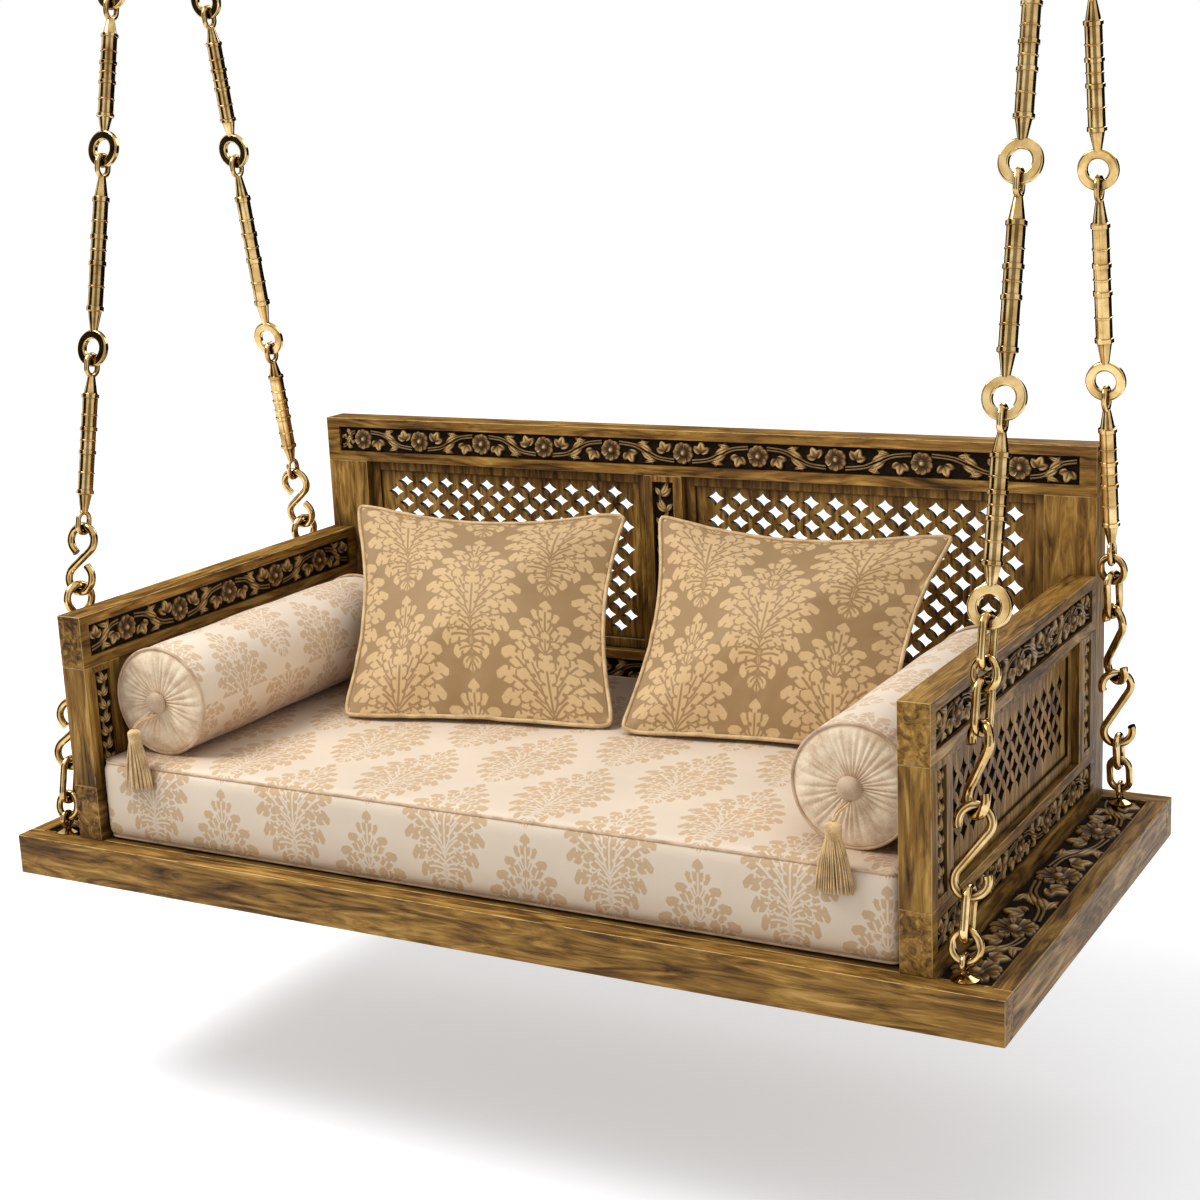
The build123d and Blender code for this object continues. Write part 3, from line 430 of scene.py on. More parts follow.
def lattice_wood(name, facing):
    """Pierced panel that faces one axis: golden strips, with painted shade on the walls of the openings and
    in narrow gaps.
    """
    material, graph = new_material(name)
    colour, tone, grain = wood_colour(graph, 2)
    # Painted shade: faces turned away from the panel's facing, the walls of the openings, go near-black
    flat = graph.smooth(graph.normal_sizes()[facing], 0.35, 0.75)
    colour = graph.mix(flat, (0.022, 0.011, 0.004), colour)
    graph.shade({
        # Painted shade in narrow gaps
        "Base Color": graph.mix(graph.crevice(0.02, 1.5), (0.016, 0.008, 0.003), colour),
        "Normal": graph.bump(graph.math("ADD", grain, tone), 0.0005, 0.5),
        "Roughness": 0.45,
        "Specular IOR Level": WOOD_SPECULAR,
    })
    return material


def carving_ground(name):
    """Near-black ground behind the carving, painted as the shade of its recess, with faint tool marks."""
    material, graph = new_material(name)
    marks = graph.noise(graph.place(), 300.0, 3.0, 0.6)
    graph.shade({
        # Painted shade: the recessed ground is near-black
        "Base Color": graph.ramp(marks, ((0.35, (0.004, 0.002, 0.001)), (0.75, (0.022, 0.012, 0.005)))),
        "Normal": graph.bump(marks, 0.0006, 0.6),
        "Roughness": 0.7,
        "Specular IOR Level": 0.08,
    })
    return material


def carved_wood(name):
    """Relief coloured by height: painted shade makes its low parts near-black and its flanks brown, and the
    golden crests vary with rubbed wear.
    """
    material, graph = new_material(name)
    rise = graph.add("ShaderNodeAttribute", attribute_name="rise").outputs["Fac"]
    rub = graph.noise(graph.place(), 85.0, 4.0, 0.6)
    level = graph.vary(rub, 0.35, rise)
    # Painted shade: the lower a point lies in the relief, the darker its colour
    colour = graph.ramp(level, ((0.10, (0.012, 0.006, 0.002)), (0.38, (0.085, 0.042, 0.011)),
                                (0.66, (0.310, 0.170, 0.045)), (0.94, (0.690, 0.460, 0.180))))
    graph.shade({
        # Painted shade in narrow gaps
        "Base Color": graph.mix(graph.crevice(0.006, 1.6), (0.008, 0.004, 0.002), colour),
        "Roughness": graph.math("MULTIPLY_ADD", level, -0.22, 0.48),
        "Normal": graph.bump(rub, 0.0004, 0.5),
        "Specular IOR Level": 0.3,
    })
    return material


def brass(name):
    """Polished antique brass: bright crests, brown patina in the grooves and in faint clouds."""
    material, graph = new_material(name)
    place = graph.place()
    cloud = graph.noise(place, 26.0, 3.0, 0.55, 0.3)
    tone = graph.vary(graph.noise(place, 150.0, 2.0, 0.5), 0.12, cloud)
    colour = graph.ramp(tone, ((0.30, (0.390, 0.230, 0.075)), (0.50, (0.640, 0.430, 0.170)),
                               (0.68, (0.860, 0.620, 0.300))))
    graph.shade({
        "Base Color": graph.mix(graph.crevice(0.012, 1.8), (0.035, 0.017, 0.005), colour),
        "Roughness": graph.math("MULTIPLY_ADD", tone, 0.12, 0.07),
        "Metallic": 1.0,
    })
    return material


def steel(name):
    """Plain steel, dark with age."""
    material, graph = new_material(name)
    cloud = graph.noise(graph.place(), 60.0, 4.0, 0.6)
    graph.shade({
        "Base Color": graph.ramp(cloud, ((0.35, (0.09, 0.075, 0.06)), (0.65, (0.24, 0.21, 0.18)))),
        "Roughness": graph.math("MULTIPLY_ADD", cloud, 0.3, 0.25),
        "Metallic": 1.0,
    })
    return material


# ---------------------------------------------------------------- damask

# Tint of the shade painted into the cloth where other parts come near it
CLOTH_SHADE = (0.62, 0.48, 0.34)

# Lengths in a medallion are shares of half its height
LEAF_CURL = 0.12
LEAF_GAP = 0.014
# Half width of a leaf along its length, with nothing just before its base and past its tip
LEAF_OUTLINE = ((0.0, 0.0), (0.05, 0.50), (0.20, 0.76), (0.37, 0.92), (0.59, 1.0),
                (0.75, 1.0), (0.88, 0.88), (0.955, 0.50), (1.0, 0.0))
# Base, tip, half width, arch and lobes of the leaves of the right half, lowest layer first
MEDALLION_LEAVES = (
    ((0.00, -0.95), (0.00, -0.30), 0.022, 0.00, 1),
    ((0.00, -1.00), (0.00, -0.83), 0.050, 0.00, 1),
    ((0.00, -0.80), (0.11, -0.93), 0.048, 0.35, 1),
    ((0.00, -0.70), (0.24, -0.79), 0.078, 0.42, 2),
    ((0.02, -0.58), (0.39, -0.62), 0.102, 0.42, 3),
    ((0.05, -0.46), (0.50, -0.40), 0.115, 0.38, 4),
    ((0.12, -0.34), (0.58, -0.13), 0.115, 0.34, 4),
    ((0.20, -0.16), (0.60, 0.13), 0.112, 0.28, 4),
    ((0.20, 0.02), (0.50, 0.37), 0.108, 0.22, 3),
    ((0.15, 0.20), (0.375, 0.57), 0.098, 0.18, 3),
    ((0.08, 0.38), (0.24, 0.75), 0.088, 0.14, 3),
    ((0.00, 0.55), (0.115, 0.89), 0.066, 0.10, 2),
    ((0.00, 0.60), (0.00, 1.03), 0.082, 0.00, 3),
    ((0.00, -0.50), (0.26, -0.38), 0.082, 0.40, 3),
    ((0.01, -0.38), (0.33, -0.12), 0.092, 0.30, 3),
    ((0.03, -0.24), (0.33, 0.14), 0.092, 0.16, 3),
    ((0.04, -0.08), (0.23, 0.36), 0.082, -0.15, 3),
    ((0.00, -0.32), (0.00, 0.36), 0.105, 0.00, 5),
    ((0.00, 0.32), (0.15, 0.50), 0.050, 0.25, 2),
    ((0.00, 0.34), (0.00, 0.61), 0.058, 0.00, 2),
)


def leaf_group():
    """Node group that lays one lobed leaf over the leaves below it, with a thin gap round it."""
    group = bpy.data.node_groups.new("damask_leaf", "ShaderNodeTree")
    for name in ("Vector", "Location", "Rotation", "Scale"):
        group.interface.new_socket(name, in_out="INPUT", socket_type="NodeSocketVector")
    for name in ("Below", "Half Width", "Arch", "Curl", "Lobes", "Slant"):
        group.interface.new_socket(name, in_out="INPUT", socket_type="NodeSocketFloat")
    group.interface.new_socket("Inside", in_out="OUTPUT", socket_type="NodeSocketFloat")
    graph = Graph(group)
    given = graph.add("NodeGroupInput").outputs
    placed = {name: given[name] for name in ("Vector", "Location", "Rotation", "Scale")}
    local = graph.add("ShaderNodeMapping", placed, vector_type="TEXTURE").outputs[0]
    parts = graph.add("ShaderNodeSeparateXYZ", {0: local})
    along = parts.outputs[0]
    square = graph.math("MULTIPLY", along, along)
    arch = graph.math("SUBTRACT", along, square)
    curl = graph.math("MULTIPLY", square, square)
    across = graph.math("MULTIPLY_ADD", arch, given["Arch"], parts.outputs[1])
    across = graph.math("ABSOLUTE", graph.math("MULTIPLY_ADD", curl, given["Curl"], across))
    phase = graph.math("MULTIPLY_ADD", across, given["Slant"], graph.math("MULTIPLY", along, given["Lobes"]))
    notch = graph.math("PINGPONG", phase, 0.5)
    lobe = graph.add("ShaderNodeMapRange", {"Value": notch, "From Max": 0.24, "To Min": 0.64},
                     interpolation_type="SMOOTHSTEP").outputs[0]
    curve = graph.add("ShaderNodeFloatCurve", {"Value": graph.math("MULTIPLY_ADD", along, 0.9, 0.05)})
    points = curve.mapping.curves[0].points
    while len(points) < len(LEAF_OUTLINE):
        points.new(0.5, 0.5)
    for point, place in zip(points, LEAF_OUTLINE):
        point.location = place
        point.handle_type = "VECTOR"
    curve.mapping.update()
    outline = graph.math("MULTIPLY_ADD", curve.outputs[0], 1.6, -0.6)
    edge = graph.math("SUBTRACT", graph.math("MULTIPLY", outline, lobe), across)
    vein = graph.math("MAXIMUM", graph.math("SUBTRACT", notch, 0.06), graph.math("SUBTRACT", 0.42, across))
    past = graph.math("ABSOLUTE", graph.math("SUBTRACT", along, 0.30))
    rib = graph.math("MAXIMUM", graph.math("SUBTRACT", across, 0.075),
                     graph.math("MULTIPLY_ADD", past, 3.0, -0.96))
    inside = graph.math("MINIMUM", graph.math("MINIMUM", edge, vein), rib)
    outside = graph.math("MULTIPLY", edge, graph.math("MULTIPLY", given["Half Width"], -1.0))
    beside = graph.math("SUBTRACT", outside, LEAF_GAP)
    below = graph.math("MINIMUM", given["Below"], beside)
    inside = graph.math("MAXIMUM", graph.math("MULTIPLY", inside, given["Half Width"]), below)
    graph.add("NodeGroupOutput", {"Inside": inside})
    return group


def damask_mask(graph, pitch, offset, width, group):
    """One on the motif and nothing on the ground, for medallions in a half-drop over the cloth."""
    cloth = graph.add("ShaderNodeUVMap", uv_map="cloth").outputs[0]
    parts = graph.add("ShaderNodeSeparateXYZ", {0: cloth})
    u = graph.math("DIVIDE", graph.math("SUBTRACT", parts.outputs[0], offset[0]), pitch[0])
    v = graph.math("DIVIDE", graph.math("SUBTRACT", parts.outputs[1], offset[1]), pitch[1])
    rising = graph.math("ROUND", graph.math("MULTIPLY", graph.math("ADD", u, v), 0.5))
    falling = graph.math("ROUND", graph.math("MULTIPLY", graph.math("SUBTRACT", u, v), 0.5))
    local_u = graph.math("SUBTRACT", u, graph.math("ADD", rising, falling))
    local_v = graph.math("SUBTRACT", v, graph.math("SUBTRACT", rising, falling))
    across = graph.math("MULTIPLY", graph.math("ABSOLUTE", local_u), 1.2 * pitch[0] / width)
    along = graph.math("MULTIPLY", local_v, 1.04)
    spot = graph.add("ShaderNodeCombineXYZ", {0: across, 1: along}).outputs[0]
    inside = -1.0
    for base, tip, half_width, arch, lobes in MEDALLION_LEAVES:
        run = Vector(tip) - Vector(base)
        stretch = run.length / half_width
        curl = LEAF_CURL * stretch if arch > 0 else 0.0
        inputs = {"Vector": spot, "Location": (*base, 0.0), "Rotation": (0.0, 0.0, math.atan2(run.y, run.x)),
                  "Scale": (run.length, half_width, 1.0), "Below": inside, "Half Width": half_width,
                  "Arch": -arch * stretch, "Curl": curl, "Lobes": float(lobes),
                  "Slant": -0.30 * lobes / stretch}
        inside = graph.add("ShaderNodeGroup", inputs, node_tree=group).outputs[0]
    return graph.smooth(inside, 0.0, 0.012), cloth


def damask(name, ground, motif, pitch, offset, width, group, fade=1.0):
    """Woven damask: satin ground, slightly raised matt motif, fine twill, soft clouds, and painted shade
    where other parts come near.
    """
    material, graph = new_material(name)
    mask, cloth = damask_mask(graph, pitch, offset, width, group)
    place = graph.place()
    worn = graph.smooth(graph.noise(cloth, 260.0, 2.0, 0.6), 0.28, 0.46)
    mask = graph.math("MULTIPLY", mask, graph.math("MULTIPLY_ADD", worn, 0.25 * fade, 0.75 * fade))
    twill = graph.add("ShaderNodeTexWave", {"Vector": cloth, "Scale": 520.0, "Distortion": 0.6},
                      bands_direction="DIAGONAL").outputs["Fac"]
    shade = graph.vary(twill, 0.05, graph.vary(graph.noise(place, 7.0, 3.0, 0.5), 0.22, 1.0))
    colour = graph.add("ShaderNodeVectorMath", {0: graph.mix(mask, ground, motif), "Scale": shade},
                       operation="SCALE").outputs[0]
    # Painted shade: this darker copy of the colour shows where other parts come near the cloth
    shaded = graph.mix(1.0, colour, CLOTH_SHADE, "MULTIPLY")
    creases = graph.add("ShaderNodeBump", {
        "Height": graph.noise(place, 38.0, 2.0, 0.5), "Distance": 0.0020, "Strength": 0.30,
        "Normal": graph.bump(twill, 0.0003, 0.40),
    })
    graph.shade({
        "Base Color": graph.mix(graph.crevice(0.12, 0.9), shaded, colour),
        "Normal": creases.outputs[0],
        "Roughness": graph.math("MULTIPLY_ADD", mask, 0.16, 0.52),
        "Sheen Weight": 0.25,
        "Sheen Roughness": 0.45,
    })
    return material


def plain_cloth(name, colour, dark):
    """Plain corded cloth for piping, bolster ends, buttons and tassels, with painted shade in narrow gaps."""
    material, graph = new_material(name)
    place = graph.place()
    fine = graph.noise(place, 420.0, 2.0, 0.6)
    tone = graph.vary(fine, 0.5, graph.noise(place, 40.0, 3.0, 0.5))
    colour = graph.ramp(tone, ((0.30, dark), (0.62, colour)))
    graph.shade({
        # Painted shade: the dark tone fills narrow gaps
        "Base Color": graph.mix(graph.crevice(0.006, 1.2), dark, colour),
        "Normal": graph.bump(fine, 0.0004, 0.5),
        "Roughness": 0.7,
        "Sheen Weight": 0.3,
    })
    return material


# ---------------------------------------------------------------- carved relief


def turned(points, angle, base):
    """Turns points in the plane of the carving and moves them to their base."""
    c, s = math.cos(angle), math.sin(angle)
    along = points[..., 0] * c - points[..., 1] * s + base[0]
    across = points[..., 0] * s + points[..., 1] * c + base[1]
    return np.stack([along, across, points[..., 2]], axis=-1)


def relief_leaf(shape, base, angle, length, half_width, height, bend=0.2):
    """Slender pointed leaf with a sunken midrib."""
    t = np.linspace(0.0, 1.0, 12)[:, None]
    s = np.linspace(-1.0, 1.0, 9)[None, :]
    half = half_width * np.sin(np.pi * np.clip(t, 0.03, 0.985) ** 0.8) ** 0.8
    along = length * t + 0 * s
    across = s * half + bend * length * t * (1 - t) * 2
    dome = np.sqrt(1.0 - s ** 2)
    groove = 0.45 * np.exp(-(s / 0.20) ** 2) * (t < 0.92)
    crest = 0.35 + 0.65 * np.sin(np.pi * t ** 0.8)
    level = crest * dome * (1 - groove)
    points = np.stack([along, across, height * level], axis=-1)
    shape.grid(turned(points, angle, base), rise=level)


def relief_ivy(shape, base, angle, size, height):
    """Three-lobed leaf that opens from its stem, with a vein down each lobe."""
    lean = np.linspace(-1.75, 1.75, 29)[None, :]
    t = np.linspace(0.0, 1.0, 8)[:, None]
    turns = (0.0, 0.30, 0.55, 0.95, 1.30, 1.75)
    reach = size * np.interp(np.abs(lean), turns, (1.0, 0.80, 0.62, 0.86, 0.70, 0.28))
    veins = np.exp(-(lean / 0.10) ** 2) + np.exp(-((np.abs(lean) - 0.95) / 0.10) ** 2)
    crest = np.interp(t, (0.0, 0.25, 0.72, 0.90, 1.0), (0.30, 0.55, 1.0, 0.82, 0.0))
    level = crest * (1 - 0.32 * veins * np.sin(np.pi * t)) * (0.86 + 0.14 * np.cos(3.3 * lean))
    points = np.stack([reach * t * np.cos(lean), reach * t * np.sin(lean), height * level], axis=-1)
    shape.grid(turned(points, angle, base), rise=level)


def relief_flower(shape, middle, radius, height, petals, turn):
    """Open flower: cupped petals that overlap like a pinwheel, round a domed boss with a ring."""
    widen = 1.16 if petals < 7 else 1.0
    for number in range(petals):
        t = np.linspace(0.0, 1.0, 9)[:, None]
        s = np.linspace(-1.0, 1.0, 11)[None, :]
        reach = radius * (1.0 - 0.17 * s ** 4 - 0.05 * np.exp(-(s / 0.16) ** 2))
        r = 0.20 * radius + (reach - 0.20 * radius) * t
        spread = math.pi / petals * widen * (0.55 + 0.45 * np.sin(np.pi * np.clip(t * 0.70 + 0.05, 0, 1)))
        angle = turn + 2 * math.pi * number / petals + s * spread
        lift = np.interp(t, (0.0, 0.3, 0.78, 0.93, 1.0), (0.28, 0.34, 0.86, 0.95, 0.0))
        folds = 0.10 * np.cos(9.0 * s) * t + 0.12 * np.exp(-(s / 0.16) ** 2)
        level = lift * (0.72 + 0.20 * s ** 2 + 0.12 * s - folds)
        points = [middle[0] + r * np.cos(angle), middle[1] + r * np.sin(angle), height * level]
        shape.grid(np.stack(points, axis=-1), rise=level)
    for outer, low, high, level in ((0.32, 0.20, 0.60, 0.60), (0.21, 0.40, 1.10, 1.0)):
        t = np.linspace(0.0, 1.0, 6)[:, None]
        angle = np.linspace(0, 2 * math.pi, 14, endpoint=False)[None, :]
        r = radius * outer * np.cos(t * math.pi / 2) + 0 * angle
        h = height * (low + (high - low) * np.sin(t * math.pi / 2)) + 0 * angle
        points = np.stack([middle[0] + r * np.cos(angle), middle[1] + r * np.sin(angle), h], axis=-1)
        shape.grid(points, wrap=True, rise=level * (0.50 + 0.50 * t) + 0 * angle)


def relief_stem(shape, points, radius, height, taper=0.5):
    """Half-round stem along a smooth line."""
    path = smooth_path([(a, b, 0.0) for a, b in points], 7)
    tangents = np.gradient(path, axis=0)
    tangents /= np.linalg.norm(tangents, axis=1)[:, None]
    normals = np.stack([-tangents[:, 1], tangents[:, 0], 0 * path[:, 0]], axis=-1)
    share = np.linspace(0, 1, len(path))[:, None]
    radii = radius * (1 - (1 - taper) * share)
    angles = np.linspace(math.radians(-15), math.radians(195), 6)[None, :]
    points = path[:, None, :] + normals[:, None, :] * (radii * np.cos(angles))[..., None]
    level = 0.45 * (0.5 + 0.5 * np.sin(angles)) + 0 * share
    points[..., 2] = height * 1.25 * level
    shape.grid(points, rise=1.25 * level)


def ground(shape, length, width):
    """Flat ground of a carving, in the second material."""
    rows = [[(a, b, 0.0) for b in (-width / 2, width / 2)] for a in (-length / 2, length / 2)]
    shape.grid(rows, rise=0.0, paint=1)


def sprig(shape, start, end, width, side, rng):
    """Long S-shaped stems between two flowers, with ivy leaves and slender ones in their bends."""
    run = end - start
    if run < 0.3 * width:
        return
    for offset in (-0.05, 0.05):
        points = [(start, (-0.30 + offset) * width * side),
                  (start + 0.28 * run, (-0.22 + offset) * width * side),
                  (start + 0.5 * run, offset * 1.4 * width * side),
                  (start + 0.72 * run, (0.22 + offset) * width * side),
                  (end, (0.30 + offset) * width * side)]
        relief_stem(shape, points, 0.036 * width, RELIEF_HEIGHT, 1.0)
    size = min(0.50 * width, 0.34 * run)
    lift = 0.92 * RELIEF_HEIGHT
    for share, across, lean, scale in ((0.16, 0.02, 78, 1.0), (0.84, -0.02, 258, 1.0)):
        base = (start + share * run, across * width * side)
        relief_ivy(shape, base, math.radians(side * (lean + rng.uniform(-14, 14))), size * scale, lift)
    slender = ((0.40, -0.02, 28, 0.74, 0.13), (0.60, 0.02, 208, 0.74, 0.13), (0.34, -0.30, -14, 0.50, 0.10),
               (0.66, 0.30, 166, 0.50, 0.10), (0.52, 0.12, 62, 0.42, 0.10), (0.48, -0.12, 242, 0.42, 0.10))
    for share, across, lean, length, half in slender:
        base = (start + share * run, across * width * side)
        angle = math.radians(side * (lean + rng.uniform(-5, 5)))
        reach = min(length * width, 0.40 * run)
        relief_leaf(shape, base, angle, reach, half * width, 0.85 * lift, 0.10 * side)


def vine_band(shape, length, width, flowers, radius, petals, rng):
    """Flowers along a band, joined by sprigs."""
    ground(shape, length, width)
    for place in flowers:
        turn = rng.uniform(0, 2 * math.pi / petals)
        relief_flower(shape, (place, 0.0), radius, RELIEF_HEIGHT, petals, turn)
    stops = [-length / 2 - 0.6 * radius] + list(flowers) + [length / 2 + 0.6 * radius]
    for number in range(len(stops) - 1):
        sprig(shape, stops[number] + 0.85 * radius, stops[number + 1] - 0.85 * radius, width,
              (-1) ** number, rng)


def climbing_strip(shape, length, width, rng):
    """Wavy stem with a leaf in each bend."""
    ground(shape, length, width)
    bends = max(4, round(length / (0.64 * width)))
    pitch = length / bends
    points = [(-length / 2 + pitch * i, 0.18 * width * (-1) ** i) for i in range(bends + 1)]
    relief_stem(shape, points, 0.050 * width, RELIEF_HEIGHT, 1.0)
    for number in range(bends):
        side = (-1) ** number
        base = (-length / 2 + pitch * (number + 0.08), 0.14 * width * side)
        leaves = ((-60, 0.62, 0.17), (-24, 0.74, 0.15), (42, 0.46, 0.13))
        for lean, size, half in leaves:
            angle = math.radians(lean * side + rng.uniform(-8, 8))
            relief_leaf(shape, base, angle, min(size * width, 1.1 * pitch), half * width,
                        RELIEF_HEIGHT * 0.9, -0.15 * side)


def spaced(count, length, margin):
    """Places along a band, evenly spaced between its margins."""
    return [-length / 2 + margin + (length - 2 * margin) * i / max(count - 1, 1) for i in range(count)]


def faces_of(node, along_axis):
    """Box of a node carved on two faces, and each face's ground: its middle and the way out of it."""
    low, high = seat_box(node)
    other = 1 - along_axis
    faces = []
    for face, sign in ((low[other], -1), (high[other], 1)):
        origin = (low + high) / 2
        origin[other] = face + sign * (CARVING_SINK - GROUND_DEPTH)
        outward = [0, 0, 0]
        outward[other] = sign
        faces.append((origin, outward))
    return low, high, faces


def make_back_carvings(materials):
    """Vine bands on the top and bottom rails and a climbing strip on the mullion, front and back."""
    rng = random.Random(SEEDS["back"])
    for rail in ("top", "low"):
        shape = Shape()
        low, high, faces = faces_of("back_%s_carving" % rail, 0)
        length = high.x - low.x
        flowers = TOP_FLOWERS if rail == "top" else spaced(BACK_LOW_FLOWERS, length, BACK_LOW_MARGIN)
        for origin, outward in faces:
            shape.onto(origin, ALONG, UP, outward)
            vine_band(shape, length, high.z - low.z, flowers, BACK_FLOWER_RADIUS, FLOWER_PETALS, rng)
        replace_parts(shape.build("back_%s_vine" % rail, materials, "carved_wood"), "back_%s_carving" % rail)

    shape = Shape()
    low, high, faces = faces_of("mullion_carving", 0)
    for origin, outward in faces:
        shape.onto(origin, UP, (-1, 0, 0), outward)
        climbing_strip(shape, high.z - low.z, high.x - low.x, rng)
    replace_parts(shape.build("mullion_vine", materials, "carved_wood"), "mullion_carving")


def make_arm_carvings(name, materials):
    """Two vine bands and two climbing strips on each face of an arm."""
    rng = random.Random(SEEDS["arm_" + name])
    shape = Shape()
    low, high, faces = faces_of("arm_bands_" + name, 1)
    length = high.y - low.y
    flowers = spaced(ARM_FLOWERS, length, ARM_MARGIN)
    bands = ((high.z - ARM_BAND_HEIGHT / 2, ARM_BAND_HEIGHT),
             (low.z + ARM_LOW_BAND_HEIGHT / 2, ARM_LOW_BAND_HEIGHT))
    for origin, outward in faces:
        for height, width in bands:
            shape.onto((origin.x, origin.y, height), BACKWARD, UP, outward)
            vine_band(shape, length, width, flowers, ARM_FLOWER_RADIUS, FLOWER_PETALS, rng)
    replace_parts(shape.build("arm_vines_" + name, materials, "carved_wood"), "arm_bands_" + name)

    shape = Shape()
    low, high, faces = faces_of("arm_strips_" + name, 1)
    for origin, outward in faces:
        for place in (low.y + STRIP_WIDTH / 2, high.y - STRIP_WIDTH / 2):
            shape.onto((origin.x, place, origin.z), UP, (0, -1, 0), outward)
            climbing_strip(shape, high.z - low.z, STRIP_WIDTH, rng)
    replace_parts(shape.build("arm_strip_vines_" + name, materials, "carved_wood"), "arm_strips_" + name)


def make_deck_carvings(name, materials):
    """Broad vine band let into one end of the deck."""
    shape = Shape()
    low, high = seat_box("deck_carving_" + name)
    middle = (low + high) / 2
    shape.onto((middle.x, middle.y, high.z + CARVING_SINK - GROUND_DEPTH), BACKWARD, (-1, 0, 0), UP)
    vine_band(shape, high.y - low.y, high.x - low.x, DECK_FLOWERS, DECK_FLOWER_RADIUS, DECK_FLOWER_PETALS,
              random.Random(SEEDS["deck_" + name]))
    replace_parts(shape.build("deck_vine_" + name, materials, "carved_wood"), "deck_carving_" + name)


# ---------------------------------------------------------------- mattress


def box_face(half, first, second, fixed, sign):
    """One face of the mattress before its edges are rounded, with its cloth coordinates."""
    a, b = [np.linspace(-1, 1, MATTRESS_STEPS[axis]) for axis in (first, second)]
    aa, bb = np.meshgrid(np.sign(a) * np.abs(a) ** 0.9, np.sign(b) * np.abs(b) ** 0.9, indexing="ij")
    flat = np.zeros(aa.shape + (3,))
    flat[..., first] = aa * half[first]
    flat[..., second] = bb * half[second]
    flat[..., fixed] = sign * half[fixed]
    uv = flat[..., :2].copy()
    if fixed < 2:
        uv[..., fixed] += sign * (half.z - flat[..., 2])
    return flat, uv


def make_mattress(cover, piping):
    """Box cushion with soft crowned faces and a welt round its top and bottom edges."""
    low, high = seat_box("mattress")
    half = (high - low) / 2
    middle = np.array((high + low) / 2)
    edge = MATTRESS_EDGE
    shape = Shape()
    for first, second, fixed, sign in ((0, 1, 2, 1), (1, 0, 2, -1), (0, 2, 1, -1), (2, 0, 1, 1),
                                       (1, 2, 0, 1), (2, 1, 0, -1)):
        flat, uv = box_face(half, first, second, fixed, sign)
        core = np.clip(flat, -np.array(half) + edge, np.array(half) - edge)
        away = flat - core
        size = np.linalg.norm(away, axis=-1, keepdims=True)
        points = core + edge * away / np.maximum(size, 1e-9)
        x, y, z = [points[..., axis] / half[axis] for axis in range(3)]
        wave = np.sin(points[..., 0] * 23 + 0.6) * np.sin(points[..., 1] * 17 + 1.1)
        wave += 0.6 * np.sin(points[..., 0] * 41 + 2.0)
        if fixed == 2 and sign > 0:
            points[..., 2] += (MATTRESS_TOP_CROWN + MATTRESS_WAVE * wave) * (1 - x ** 8) * (1 - y ** 8)
        if fixed == 1:
            crown = MATTRESS_SIDE_CROWN + MATTRESS_WAVE * wave
            points[..., 1] += sign * crown * (1 - z ** 2) * (1 - x ** 10)
        shape.grid(points + middle, uv=uv)
    mattress = shape.build("mattress_cover", [cover], "cream_damask", merge=1e-5)
    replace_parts(mattress, "mattress")

    welt = Shape()
    inset = edge * (1 - math.sqrt(0.5)) - 0.0006
    for z in (half.z - inset, -half.z + inset):
        corners = []
        for turn, (sx, sy) in enumerate(((1, 1), (-1, 1), (-1, -1), (1, -1))):
            for step in range(7):
                angle = math.radians(90 * turn + 15 * step)
                corners.append((sx * (half.x - edge) + (edge - inset) * math.cos(angle),
                                sy * (half.y - edge) + (edge - inset) * math.sin(angle), z))
        corners = np.array(corners)
        path = []
        for start, end in zip(corners, np.roll(corners, -1, 0)):
            pieces = max(1, int(math.dist(start, end) / 0.03))
            path += [start + (end - start) * k / pieces for k in range(pieces)]
        welt.grid(tube_rows(np.array(path) + middle, PIPING_RADIUS, 8, True), wrap=True)
    welt.build("mattress_welt", [piping], "cream_damask")


# ---------------------------------------------------------------- bolsters


